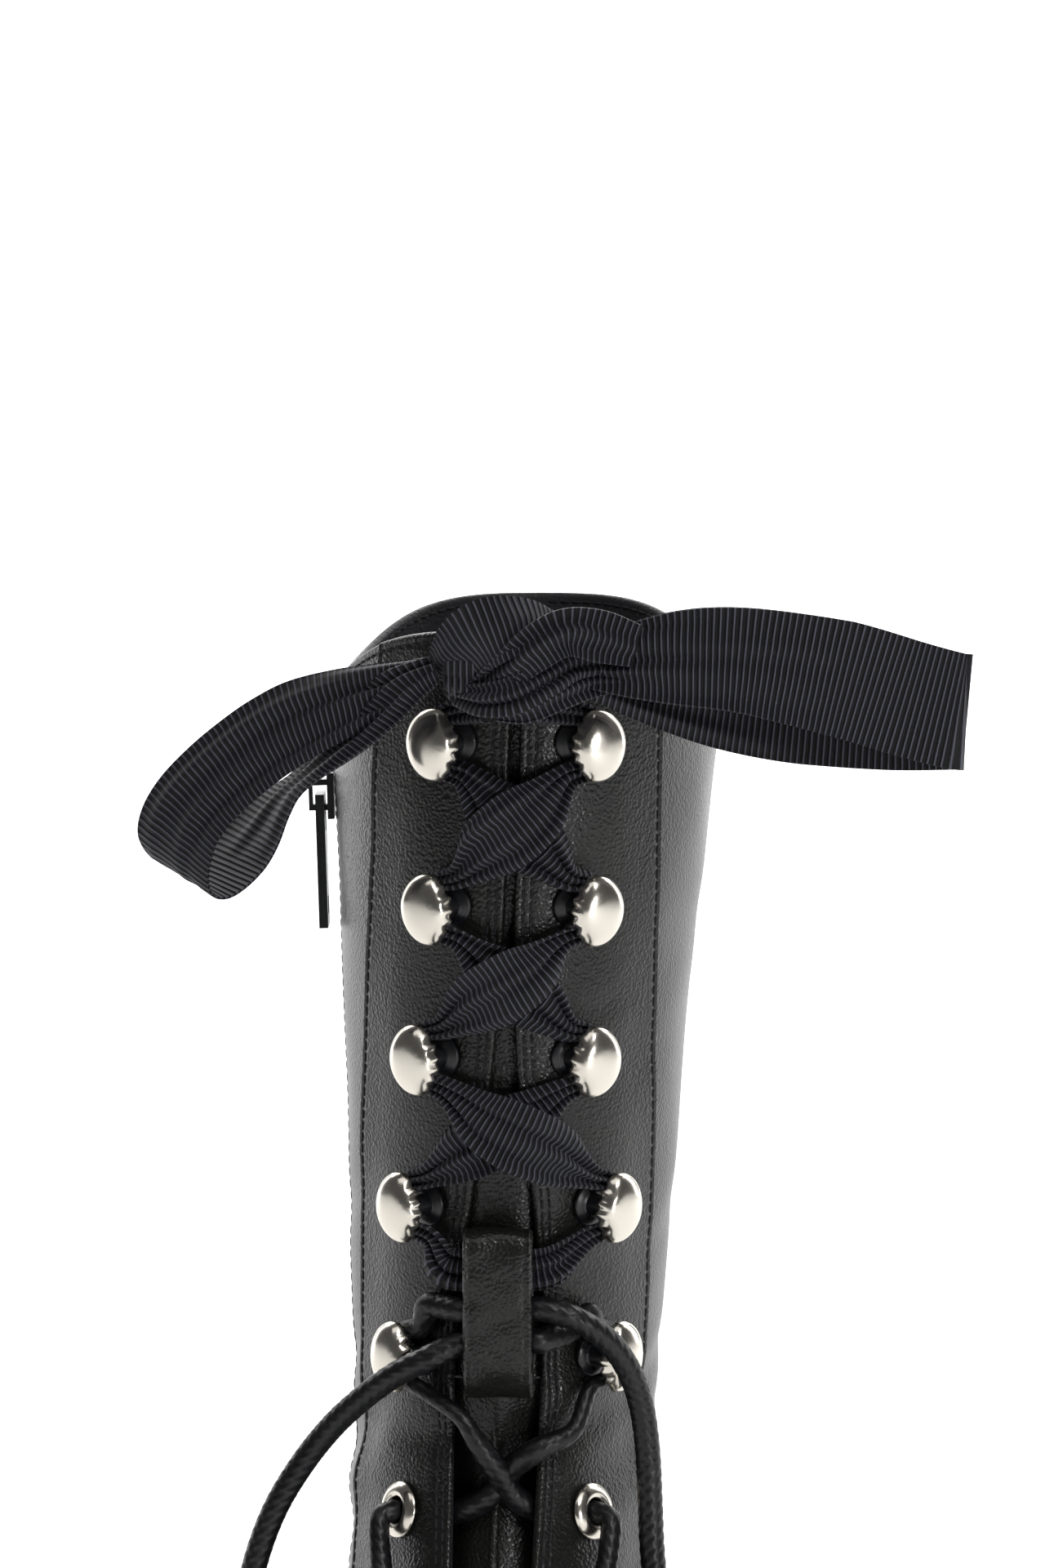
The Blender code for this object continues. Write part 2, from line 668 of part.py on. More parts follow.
def row_list():
    """Rows of the upper's grid: closer where the form turns, and doubled at the vamp seam."""
    rows = []
    for start in range(LAST_ROW):
        parts = 1 if start in (7, 8) or start >= 16 else 2
        rows += [start + k / parts for k in range(parts)]
    rows += [LAST_ROW, THROAT_END, VAMP_ROW - 0.03, ZIP_FOOT]
    return sorted(set(rows))


def column_shares(row, side):
    """Shares round a section where the grid's columns stand."""
    length = half_length(row, side)
    throat = min(opening("throat", row) * MM / length, 0.12)
    seam = opening("seam", row)
    lap = min(SEAM_LAP / length, 0.01)
    slot = min(ZIP_SLOT / length, SLOT_MOST_SHARE)
    zip_front = opening("zip", row) - slot / 2
    zip_back = zip_front + slot
    shares = [0.0]
    shares += [throat + (seam - throat) * k / 3 for k in range(4)]
    shares += [seam + lap, zip_front]
    shares += [zip_back + (1 - zip_back) * k / 5 for k in range(6)]
    return shares


THROAT_COLUMN = 1
SEAM_COLUMN = 4
ZIP_COLUMN = 6


def seam_raise(row, index):
    """How far the lapped edges of the front panel and of the vamp stand up."""
    raised = 0.0
    if index == SEAM_COLUMN and row < VAMP_ROW:
        raised = SEAM_STEP
    if VAMP_ROW <= row < VAMP_ROW + 1:
        raised = SEAM_STEP * (VAMP_ROW + 1 - row)
    return raised


def wall_pair(row, share, side, raised=0.0):
    """Outer and inner point of the leather."""
    point = skin(row, share, side)
    normal = outward(row, share, side)
    outer, inner = point + normal * raised, point - normal * WALL
    if row >= CORNER_ROW:
        outer.z = max(outer.z, seat(outer.y))
        inner.z = max(inner.z, seat(inner.y))
    return outer, inner


def upper():
    rows = row_list()
    cells = []
    for side in (-1, 1):
        grid = []
        for row in rows:
            shares = column_shares(row, side)
            grid.append([
                wall_pair(row, share, side, seam_raise(row, index))
                for index, share in enumerate(shares)
            ])
        for r in range(len(rows) - 1):
            for c in range(len(grid[0]) - 1):
                in_throat = c < THROAT_COLUMN and rows[r] < THROAT_END
                in_zip = c == ZIP_COLUMN and rows[r] < ZIP_END and side < 0
                if in_throat or in_zip:
                    continue
                cell = [grid[r][c], grid[r + 1][c], grid[r + 1][c + 1], grid[r][c + 1]]
                cells.append(cell if side > 0 else cell[::-1])
    made = walled("upper", cells, black_leather())
    for number, row in enumerate(EYELET_ROWS):
        for side in (-1, 1):
            drill(made, number, row, side)
    return made


def eyelet_frame(row, side):
    share = row.offset * MM / half_length(row.row, side)
    point = skin(row.row, share, side)
    return frame_at(point, outward(row.row, share, side), Vector((0.0, 0.0, 1.0)))


def drill(target, number, row, side):
    """A lace hole through the facing."""
    name = f"drill_{number}_{'right' if side > 0 else 'left'}"
    sides = 10
    rings = []
    for height in (-5.0, 5.0):
        rings.append([
            Vector((
                EYELET_HOLE / 2 * math.cos(2 * math.pi * k / sides),
                EYELET_HOLE / 2 * math.sin(2 * math.pi * k / sides),
                height * MM,
            ))
            for k in range(sides)
        ])
    cutter = loft(name, rings, nickel(), eyelet_frame(row, side))
    cutter.hide_render = True
    cutter.display_type = "WIRE"
    cut = target.modifiers.new(name, "BOOLEAN")
    cut.operation = "DIFFERENCE"
    cut.solver = "EXACT"
    cut.object = cutter


def tongue():
    """The tongue under the facing, stitched in below the throat's end."""
    rows = [row for row in row_list() if TONGUE_TOP_ROW <= row <= TONGUE_FOOT_ROW]
    rows.remove(VAMP_ROW)
    cells = []
    for side in (-1, 1):
        grid = []
        for row in rows:
            columns = column_shares(row, side)[:SEAM_COLUMN + 1]
            skins = [(skin(row, share, side), outward(row, share, side)) for share in columns]
            spread = min((row - TONGUE_TOP_ROW) / 2, 1.0)
            spread = TONGUE_TOP_SHARE + (1 - TONGUE_TOP_SHARE) * spread
            reach = TONGUE_HALF_WIDTH / half_length(row, side) * spread
            depth = eased(TONGUE_DEPTHS, row)
            line = []
            for k in range(4):
                share = min(columns[k], reach)
                share = reach if k == 3 else share
                after = next(i for i in range(1, len(columns)) if columns[i] >= share - 1e-9)
                t = (share - columns[after - 1]) / (columns[after] - columns[after - 1])
                point = skins[after - 1][0].lerp(skins[after][0], t)
                normal = skins[after - 1][1].lerp(skins[after][1], t).normalized()
                line.append((point - normal * depth, point - normal * (depth + TONGUE_THICK)))
            grid.append(line)
        for r in range(len(rows) - 1):
            for c in range(3):
                cell = [grid[r][c], grid[r + 1][c], grid[r + 1][c + 1], grid[r][c + 1]]
                cells.append(cell if side > 0 else cell[::-1])
    return walled("tongue", cells, black_leather())


def stations(first, last, count):
    """Places from first to last, closer together at both ends."""
    spread = []
    for k in range(count + 1):
        spread.append(first + (last - first) * (1 - math.cos(math.pi * k / count)) / 2)
    return spread


SOLE_STATIONS = stations(HEEL_BACK_Y - 0.15 * MM, TOE_Y + 0.15 * MM, 40)


def outsole():
    """The outsole, with a step under its edge."""
    rings = []
    for y in SOLE_STATIONS:
        low = sole_bottom(y)
        inner, outer = plan_x(y, -1), plan_x(y, 1)
        step = min(0.8 * MM, (outer - inner) / 6)
        rings.append([
            Vector((inner + step, y, low)),
            Vector((outer - step, y, low)),
            Vector((outer, y, low + 1.2 * MM)),
            Vector((outer, y, low + SOLE_THICK)),
            Vector((inner, y, low + SOLE_THICK)),
            Vector((inner, y, low + 1.2 * MM)),
        ])
    return loft("outsole", rings, sole_leather())


def insole():
    """The insole inside the upper, on the outsole."""
    rings = []
    inset = INSOLE_MARGIN
    start, finish = HEEL_BACK_Y - inset, TOE_Y + inset
    for y in [y for y in SOLE_STATIONS if finish < y < start]:
        low = seat(y)
        inner, outer = plan_x(y, -1, inset), plan_x(y, 1, inset)
        rings.append([
            Vector((inner, y, low)),
            Vector((outer, y, low)),
            Vector((outer, y, low + INSOLE_THICK)),
            Vector((inner, y, low + INSOLE_THICK)),
        ])
    return loft("insole", rings, lining_leather())


def heel_ring(row, low):
    """D-shaped ring of the heel: round at the back and hollow at the breast."""
    back, breast, half = row.back * MM, row.breast * MM, row.half_width * MM
    middle = breast + (back - breast) * 0.42
    ring = []
    sides = 16
    for k in range(sides + 1):
        angle = math.pi * k / sides
        x = half * math.cos(angle)
        reach = math.sin(angle)
        y = middle + (back - middle) * reach ** 0.8 if reach > 1e-6 else middle
        ring.append((x, y))
    ring += [(-half * 0.94, breast), (-half * 0.35, breast + 3.0 * MM)]
    ring += [(half * 0.35, breast + 3.0 * MM), (half * 0.94, breast)]
    points = []
    for x, y in ring:
        top = sole_bottom(y) - GAP
        points.append(Vector((x, y, top + (low - top) * row.share)))
    return points


def heel():
    low = TOP_PIECE_THICK + GAP
    rings = [heel_ring(row, low) for row in HEEL_ROWS]
    loft("heel", rings, stack_leather())
    foot = HEEL_ROWS[-1]
    rings = [
        [Vector((p.x, p.y, height)) for p in heel_ring(foot, low)]
        for height in (0.0, TOP_PIECE_THICK)
    ]
    loft("heel_top_piece", rings, heel_rubber())


def turned(rings, sides):
    """Points and faces of a turned solid from rings of (centre, radius_x, radius_y)."""
    points = []
    for centre, radius_x, radius_y in rings:
        for k in range(sides):
            angle = 2 * math.pi * k / sides
            points.append(centre + Vector((radius_x * math.cos(angle), radius_y * math.sin(angle), 0)))
    faces = []
    for r in range(len(rings) - 1):
        for k in range(sides):
            after = (k + 1) % sides
            faces.append((
                r * sides + k,
                r * sides + after,
                (r + 1) * sides + after,
                (r + 1) * sides + k,
            ))
    return points, faces


def hook_seat(row, side):
    """Frame of a hook's rivet on the facing; its local X points away from the throat."""
    dome_x = (row.right if side > 0 else row.left) * MM
    rivet_x = dome_x - side * HOOK_DOME_SHIFT
    for _ in range(4):
        point, normal = above_front(rivet_x, row.height * MM, GAP)
        place = frame_at(point, normal, Vector((0.0, 0.0, 1.0)))
        dome = place @ Vector((side * HOOK_DOME_SHIFT, 0.0, HOOK_DOME_MIDDLE))
        rivet_x += dome_x - dome.x
    return place


def hook(name, row, side):
    """A boot hook: rivet flange, neck and a domed oval that hangs away from the throat."""
    sides = 10
    rings = []
    for ring in HOOK_RINGS:
        long = HOOK_DOME_LONG if ring.shift > 1 else 1.0
        centre = Vector((side * ring.shift, 0.0, ring.height)) * MM
        rings.append((centre, ring.radius * MM, ring.radius * MM * long))
    points, faces = turned(rings, sides)
    faces.append(tuple(range(sides)))
    top = len(points)
    points.append(Vector((side * HOOK_DOME_SHIFT, 0.0, HOOK_TOP)))
    last = (len(rings) - 1) * sides
    faces += [(last + k, last + (k + 1) % sides, top) for k in range(sides)]
    return new_object(name, points, faces, nickel(), hook_seat(row, side))


def eyelet(name, row, side):
    """A rolled eyelet whose barrel stands in the lace hole."""
    sides = 9
    rings = [
        (Vector((0.0, 0.0, ring.height * MM + GAP)), ring.radius * MM, ring.radius * MM)
        for ring in EYELET_RINGS
    ]
    points, faces = turned(rings, sides)
    last = (len(rings) - 1) * sides
    for k in range(sides):
        after = (k + 1) % sides
        faces.append((last + k, last + after, after, k))
    return new_object(name, points, faces, nickel(), eyelet_frame(row, side))


def above_row(row, offset, lift):
    """Point at a lift over the leather, at an offset from the throat's middle line on a row."""
    side = 1 if offset >= 0 else -1
    share = abs(offset) * MM / half_length(row, side)
    return skin(row, share, side) + outward(row, max(share, 0.004), side) * lift * MM


def facet_line(row, side, places):
    """Points and normals on the flat facets between a row's grid columns."""
    columns = column_shares(row, side)
    skins = [(skin(row, share, side), outward(row, share, side)) for share in columns]
    found = []
    for place in places:
        after = next(i for i in range(1, len(columns)) if columns[i] >= place - 1e-9)
        t = (place - columns[after - 1]) / (columns[after] - columns[after - 1])
        point = skins[after - 1][0].lerp(skins[after][0], t)
        found.append((point, skins[after - 1][1].lerp(skins[after][1], t).normalized()))
    return found


def zip_ring(row, coil_depth):
    """Outline across the zip: the tape behind the leather, and the coil to its own depth."""
    length = half_length(row, -1)
    middle = opening("zip", row)
    offsets = (-TAPE_HALF_WIDTH, -COIL_HALF_WIDTH, COIL_HALF_WIDTH, TAPE_HALF_WIDTH)
    line = facet_line(row, -1, [middle + offset / length for offset in offsets])
    (p0, n0), (p1, n1), (p2, n2), (p3, n3) = line
    back = WALL + TAPE_GAP
    tape = back + TAPE_THICK
    return [
        p0 - n0 * back, p1 - n1 * back, p1 - n1 * coil_depth, p2 - n2 * coil_depth,
        p2 - n2 * back, p3 - n3 * back, p3 - n3 * tape, p2 - n2 * tape,
        p1 - n1 * tape, p0 - n0 * tape,
    ]


def zip_closure():
    """The zip's tape behind the slot, with its coil standing in the slot."""
    low = WALL + TAPE_GAP - 0.02 * MM
    rows = [row for row in row_list() if row < ZIP_END]
    rings = [zip_ring(row, COIL_DEPTH) for row in rows]
    end = zip_ring(ZIP_END, COIL_DEPTH)
    rings.append([a.lerp(b, 0.92) for a, b in zip(rings[-1], end)])
    rings.append(zip_ring(ZIP_END, low))
    rings.append(zip_ring(ZIP_FOOT, low))
    return loft("zip", rings, zip_tape())


def slider_frame():
    """Frame on the zip's middle: X across it, Y up along it and Z out of it."""
    row = SLIDER_ROW
    point, normal = facet_line(row, -1, [opening("zip", row)])[0]
    above = facet_line(row - 0.2, -1, [opening("zip", row - 0.2)])[0][0]
    return frame_at(point, normal, (above - point).normalized())


def joined(made, extra):
    """Join a second solid onto the first one."""
    extra.hide_render = True
    extra.display_type = "WIRE"
    join = made.modifiers.new(extra.name, "BOOLEAN")
    join.operation = "UNION"
    join.solver = "EXACT"
    join.object = extra


def block(name, low, high, look, place):
    """A box between two corners."""
    (x0, y0, z0), (x1, y1, z1) = low, high
    rings = [
        [Vector((x0, y0, z)), Vector((x1, y0, z)), Vector((x1, y1, z)), Vector((x0, y1, z))]
        for z in (z0, z1)
    ]
    return loft(name, rings, look, place)


def zip_slider():
    """The slider's plate, with the bail that holds the pull."""
    place = slider_frame()
    plate = block(
        "zip_slider",
        (-SLIDER_HALF_WIDTH, -SLIDER_HALF_LENGTH, SLIDER_LOW),
        (SLIDER_HALF_WIDTH, SLIDER_HALF_LENGTH, SLIDER_TOP),
        black_metal(),
        place,
    )
    root = SLIDER_TOP - 0.5 * MM
    side_view = [
        (-BAIL_HALF_LENGTH, root), (-BAIL_HALF_LENGTH, BAIL_TOP),
        (BAIL_HALF_LENGTH, BAIL_TOP), (BAIL_HALF_LENGTH, root),
        (BAIL_HOLE_HALF, root), (BAIL_HOLE_HALF, BAIL_HOLE_TOP),
        (-BAIL_HOLE_HALF, BAIL_HOLE_TOP), (-BAIL_HOLE_HALF, root),
    ]
    rings = [[Vector((x, y, z)) for y, z in side_view] for x in (-BAIL_HALF_WIDTH, BAIL_HALF_WIDTH)]
    joined(plate, loft("zip_bail", rings, black_metal(), place))


def zip_pull():
    """The pull: a flat tab with a slot for the bail and a small hole near its foot."""
    pivot = slider_frame() @ Matrix.Translation((0.0, PULL_PIVOT_ALONG, PULL_PIVOT_OUT))
    half = PULL_THICK / 2
    across = (-PULL_HALF_WIDTH, -PULL_HOLE_HALF, PULL_HOLE_HALF, PULL_HALF_WIDTH)
    along = (PULL_TOP, PULL_SLOT[0], PULL_SLOT[1], PULL_HOLE[0], PULL_HOLE[1], PULL_FOOT)
    cells = []
    for r in range(len(along) - 1):
        for c in range(len(across) - 1):
            if c == 1 and r in (1, 3):
                continue
            corners = [
                (across[c], along[r]), (across[c + 1], along[r]),
                (across[c + 1], along[r + 1]), (across[c], along[r + 1]),
            ]
            cells.append([(Vector((x, y, half)), Vector((x, y, -half))) for x, y in corners])
    made = walled("zip_pull", cells, black_metal())
    made.matrix_world = pivot
    return made


def keeper():
    """The leather loop sewn on the tongue, which holds the ribbon and the cord."""
    middle = [above_front(0.5 * MM, z * MM, lift * MM)[0] for z, lift in KEEPER_LOOP]
    count = len(middle)
    line = []
    for k, point in enumerate(middle):
        way = (middle[(k + 1) % count] - middle[k - 1]).normalized()
        normal = Vector((1.0, 0.0, 0.0)).cross(way)
        line.append((point + normal * KEEPER_THICK / 2, point - normal * KEEPER_THICK / 2))
    cells = []
    for k in range(count):
        after = (k + 1) % count
        corners = []
        for index, x in ((k, -1), (after, -1), (after, 1), (k, 1)):
            aside = Vector((x * KEEPER_HALF_WIDTH, 0.0, 0.0))
            corners.append((line[index][0] + aside, line[index][1] + aside))
        cells.append(corners)
    return walled("tongue_loop", cells, black_leather())


def band(name, stops, look):
    """A flat ribbon of triangles through stops of (middle, width vector, thickness)."""
    rings = []
    last = len(stops) - 1
    for k, (middle, wide, thick) in enumerate(stops):
        way = (stops[min(k + 1, last)][0] - stops[max(k - 1, 0)][0]).normalized()
        wide = (wide - way * wide.dot(way)).normalized() * wide.length
        face = way.cross(wide).normalized() * thick
        rings.append([
            middle - wide / 2 - face / 2,
            middle + wide / 2 - face / 2,
            middle + wide / 2 + face / 2,
            middle - wide / 2 + face / 2,
        ])
    made = loft(name, rings, look)
    work = bmesh.new()
    work.from_mesh(made.data)
    bmesh.ops.triangulate(work, faces=work.faces)
    work.to_mesh(made.data)
    work.free()
    return made


def hook_turn(level, side, upward, lift):
    """Points of a lace's turn round a hook's neck, and the normal there."""
    place = hook_seat(HOOK_ROWS[level], side)
    steps = HOOK_TURN if upward else HOOK_TURN[::-1]
    points = [place @ Vector((side * out * MM, up * MM, lift * MM)) for out, up in steps]
    return points, place.col[2].to_3d()


def ribbon_turn(level, side, upward):
    points, normal = hook_turn(level, side, upward, RIBBON_TURN_LIFT)
    turns = zip(points, RIBBON_TURN_WIDTHS)
    return [(point, normal, width, RIBBON_TURN_THICK) for point, width in turns]


def ribbon_cross(start, end, lift):
    """Stops of the ribbon between two hooks, high or low where it meets the other strand."""
    stops = []
    for t, share in ((0.28, 0.55), (0.5, 1.0), (0.72, 0.55)):
        at = start.lerp(end, t)
        height = RIBBON_SIDE_LIFT + (lift - RIBBON_SIDE_LIFT) * share
        point, normal = above_front(at.x, at.z, height * MM)
        width = RIBBON_SIDE_WIDTH if share < 1 else RIBBON_CROSS_WIDTH
        stops.append((point, normal, width, RIBBON_CROSS_THICK))
    return stops


def ribbon_lacing():
    """The ribbon from the knot down over the hooks, through the keeper and up again."""
    over, under = RIBBON_OVER_LIFT, RIBBON_UNDER_LIFT
    forward = Vector((0.0, -1.0, 0.0))
    top_right, top_left = [Vector((x, RIBBON_TOP_Y, RIBBON_TOP_Z)) * MM for x in RIBBON_TOP_X]
    stops = [(top_right, forward, RIBBON_TOP_WIDTH, RIBBON_TOP_THICK)]
    sides = (1, -1, 1, -1)
    for level, side in enumerate(sides):
        turn = ribbon_turn(level, side, False)
        if level:
            lift = over if level == 1 else under
            stops += ribbon_cross(stops[-1][0], turn[0][0], lift)
        stops += turn
    for x, z, width, thick in RIBBON_IN_KEEPER:
        stops.append((Vector((x * MM, KEEPER_Y, z * MM)), forward, width, thick))
    for level in (3, 2, 1, 0):
        side = -sides[level]
        turn = ribbon_turn(level, side, True)
        if level < 3:
            lift = under if level == 0 else over
            stops += ribbon_cross(stops[-1][0], turn[0][0], lift)
        stops += turn
    stops.append((top_left, forward, RIBBON_TOP_WIDTH, RIBBON_TOP_THICK))
    last = len(stops) - 1
    flat = []
    for k, (point, normal, width, thick) in enumerate(stops):
        way = stops[min(k + 1, last)][0] - stops[max(k - 1, 0)][0]
        flat.append((point, normal.cross(way).normalized() * width * MM, thick * MM))
    return band("ribbon_lacing", flat, grosgrain())


def knot():
    sides = 12
    rings = []
    for row in KNOT_ROWS:
        rings.append([
            Vector((
                row.x * MM,
                KNOT_Y + row.half_y * MM * math.cos(2 * math.pi * k / sides),
                KNOT_Z + row.half_z * MM * math.sin(2 * math.pi * k / sides),
            ))
            for k in range(sides)
        ])
    return loft("ribbon_knot", rings, grosgrain())


def bow_loop(name, rows, wide):
    """One loop of the bow: ribbon out from the knot, round its fold and back."""
    wide = Vector(wide).normalized()
    places = [Vector((r.x, r.y, r.z)) * MM for r in rows]
    widths = [r.share * RIBBON_WIDTH for r in rows]
    stops = []
    parts = 2
    for k in range((len(rows) - 1) * parts + 1):
        stops.append((through(places, k / parts), wide * through(widths, k / parts), RIBBON_THICK))
    return band(name, stops, grosgrain())


def tube(name, places, sizes, look):
    """A round bar of cord through places, each with its own share of the full diameter."""
    sides = 8
    rings = []
    last = len(places) - 1
    up = Vector((0.0, 0.0, 1.0))
    for k, place in enumerate(places):
        way = (places[min(k + 1, last)] - places[max(k - 1, 0)]).normalized()
        aside = way.cross(up if abs(way.z) < 0.9 else Vector((0.0, -1.0, 0.0))).normalized()
        over = aside.cross(way)
        radius = CORD_DIAMETER / 2 * sizes[k]
        rings.append([
            place + (aside * math.cos(2 * math.pi * s / sides)
                     + over * math.sin(2 * math.pi * s / sides)) * radius
            for s in range(sides)
        ])
    return loft(name, rings, look)


def smooth_tube(name, places, sizes, parts):
    count = (len(places) - 1) * parts
    return tube(
        name,
        [through(places, k / parts) for k in range(count + 1)],
        [through(sizes, k / parts) for k in range(count + 1)],
        waxed_cord(),
    )


def cord_strand(name, side, start_rows, finish_rows, end):
    """The round cord from behind the facing, out of the throat, round a hook to the keeper."""
    places = [above_front(x * MM, z * MM, lift * MM)[0] for x, z, lift in start_rows]
    turn = hook_turn(len(HOOK_ROWS) - 1, side, True, CORD_TURN_LIFT)[0]
    sizes = [1.0] * (len(places) - 1) + [CORD_BESIDE_TURN_SHARE] + [CORD_TURN_SHARE] * len(turn)
    places += turn
    places += [above_front(x * MM, z * MM, lift * MM)[0] for x, z, lift in finish_rows]
    sizes += [CORD_BESIDE_TURN_SHARE] + [1.0] * (len(finish_rows) - 1)
    for x in (end[0] + side * 1.6, end[0]):
        places.append(Vector((x * MM, KEEPER_Y, end[1] * MM)))
        sizes.append(1.0)
    return smooth_tube(name, places, sizes, 1)


def cord_bars():
    """The round cord's bars outside the facing, from eyelet to eyelet."""
    for side, word in ((-1, "left"), (1, "right")):
        for number, (a, b) in enumerate(((0, 1), (2, 3)), 1):
            above = Vector((0.0, 0.0, CORD_BAR_END_LIFT))
            start = eyelet_frame(EYELET_ROWS[a], side) @ above
            end = eyelet_frame(EYELET_ROWS[b], side) @ above
            row = (EYELET_ROWS[a].row + EYELET_ROWS[b].row) / 2
            offset = (EYELET_ROWS[a].offset + EYELET_ROWS[b].offset) / 2
            middle = above_row(row, side * offset, CORD_BAR_MIDDLE_LIFT)
            smooth_tube(f"cord_bar_{word}_{number}", [start, middle, end], [1.0] * 3, 2)


def cord_crossings():
    """The round cord in the throat: two crossings, and a bar at the lowest eyelets."""
    arms = []
    for side in (1, -1):
        places = [above_row(row, side * offset, CORD_LIFT) for row, offset in CORD_CROSSING]
        name = "cord_crossing_low" if side > 0 else "crossing_arm"
        arms.append(smooth_tube(name, places, [1.0] * len(places), 1))
    joined(*arms)
    foot_row = EYELET_ROWS[-1].row
    foot = [above_row(foot_row, offset, CORD_LIFT) for offset in CORD_FOOT_OFFSETS]
    smooth_tube("cord_bar_foot", foot, [1.0] * 3, 1)
    left = cord_strand(
        "cord_crossing_top", -1, STRAND_LEFT, STRAND_LEFT_TO_KEEPER, STRAND_LEFT_END,
    )
    right = cord_strand(
        "strand_right", 1, STRAND_RIGHT, STRAND_RIGHT_TO_KEEPER, STRAND_RIGHT_END,
    )
    joined(left, right)


def free_cord(name, route):
    """A free end of the cord: a round tube along a smooth line through its route."""
    places = [Vector(p) * MM for p in route]
    curve = bpy.data.curves.new(name, "CURVE")
    curve.dimensions = "3D"
    curve.bevel_depth = CORD_DIAMETER / 2
    curve.bevel_resolution = 2
    curve.render_resolution_u = 0
    curve.use_fill_caps = True
    line = curve.splines.new("POLY")
    line.points.add(CORD_POINTS - 1)
    for k in range(CORD_POINTS):
        at = through(places, k * (len(places) - 1) / (CORD_POINTS - 1))
        line.points[k].co = (*at, 1.0)
    curve.materials.append(waxed_cord())
    made = bpy.data.objects.new(name, curve)
    bpy.context.collection.objects.link(made)
    return made


def aglet(name, route):
    """The tip on a free end of the cord."""
    end, before = Vector(route[-1]) * MM, Vector(route[-2]) * MM
    way = (end - before).normalized()
    sides = 10
    aside = way.cross(Vector((0.0, 1.0, 0.0))).normalized()
    over = aside.cross(way)
    rings = []
    for along, radius in ((GAP, 1.0), (0.9 * AGLET_LENGTH, 0.92), (AGLET_LENGTH, 0.6)):
        rings.append([
            end + way * along + (
                aside * math.cos(2 * math.pi * s / sides) + over * math.sin(2 * math.pi * s / sides)
            ) * AGLET_RADIUS * radius
            for s in range(sides)
        ])
    return loft(name, rings, black_metal())


def clear_scene():
    for old in list(bpy.data.objects):
        bpy.data.objects.remove(old, do_unlink=True)


def main():
    clear_scene()
    upper()
    tongue()
    insole()
    outsole()
    heel()
    for side, word in ((-1, "left"), (1, "right")):
        for number, row in enumerate(HOOK_ROWS, 1):
            hook(f"hook_{word}_{number}", row, side)
        for number, row in enumerate(EYELET_ROWS, 1):
            eyelet(f"eyelet_{word}_{number}", row, side)
    zip_closure()
    zip_slider()
    zip_pull()
    keeper()
    ribbon_lacing()
    knot()
    bow_loop("ribbon_loop_left", BOW_LEFT, BOW_LEFT_WIDE)
    bow_loop("ribbon_loop_right", BOW_RIGHT, BOW_RIGHT_WIDE)
    cord_bars()
    cord_crossings()
    for word, route in (("left", CORD_END_LEFT), ("right", CORD_END_RIGHT)):
        free_cord(f"cord_end_{word}", route)
        aglet(f"aglet_{word}", route)


main()
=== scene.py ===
# %% [markdown]
# # A victorian lace up boot, dressed for its portrait
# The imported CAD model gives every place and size. This lesson keeps it as a fixed frame and puts
# fine surfaces over it: grained leather with its seams and creases, polished hooks, a ribbed ribbon
# bow and a braided cord. All tables are in millimetres and are turned into metres when used.

import math

import bmesh
import bpy
import numpy as np
from mathutils import Matrix, Vector


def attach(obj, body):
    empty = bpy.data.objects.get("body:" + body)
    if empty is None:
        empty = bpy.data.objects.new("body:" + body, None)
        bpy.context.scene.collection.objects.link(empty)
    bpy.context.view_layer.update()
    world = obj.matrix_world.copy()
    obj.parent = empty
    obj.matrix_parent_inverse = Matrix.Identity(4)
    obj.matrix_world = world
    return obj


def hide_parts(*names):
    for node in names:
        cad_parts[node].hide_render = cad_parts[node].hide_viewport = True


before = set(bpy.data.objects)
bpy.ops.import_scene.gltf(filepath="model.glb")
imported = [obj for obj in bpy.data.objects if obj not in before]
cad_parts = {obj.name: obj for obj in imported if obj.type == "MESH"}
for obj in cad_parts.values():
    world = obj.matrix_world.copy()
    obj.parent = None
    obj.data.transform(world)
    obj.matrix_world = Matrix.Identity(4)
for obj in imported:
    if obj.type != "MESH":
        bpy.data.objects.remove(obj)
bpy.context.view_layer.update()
MM = 0.001
BOOT = "boot"
print("frame loaded:", len(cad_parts), "nodes")

# %% [markdown]
# ## Camera
# The portrait is taken from the front, a little from the wearer's outer side and a little from
# above, with a long lens. A long lens keeps the shaft's sides nearly parallel, as a short one would
# not. The aim is a point on the lacing, and the camera sits on a line through it.

# %% Camera
AZIMUTH, ELEVATION = math.radians(2.5), math.radians(5.5)
aim = Vector((5.3, -50.0, 290.1)) * MM
back = Vector((
    math.sin(AZIMUTH) * math.cos(ELEVATION),
    -math.cos(AZIMUTH) * math.cos(ELEVATION),
    math.sin(ELEVATION),
))
camera_data = bpy.data.cameras.new("portrait")
camera_data.lens = 155
camera_data.sensor_width = 36
camera_data.clip_start = 0.05
camera = bpy.data.objects.new("portrait", camera_data)
camera.location = aim + back * 1.3
camera.rotation_euler = (-back).to_track_quat("-Z", "Y").to_euler()
bpy.context.scene.collection.objects.link(camera)
bpy.context.scene.camera = camera
print("camera at", [round(v, 3) for v in camera.location])
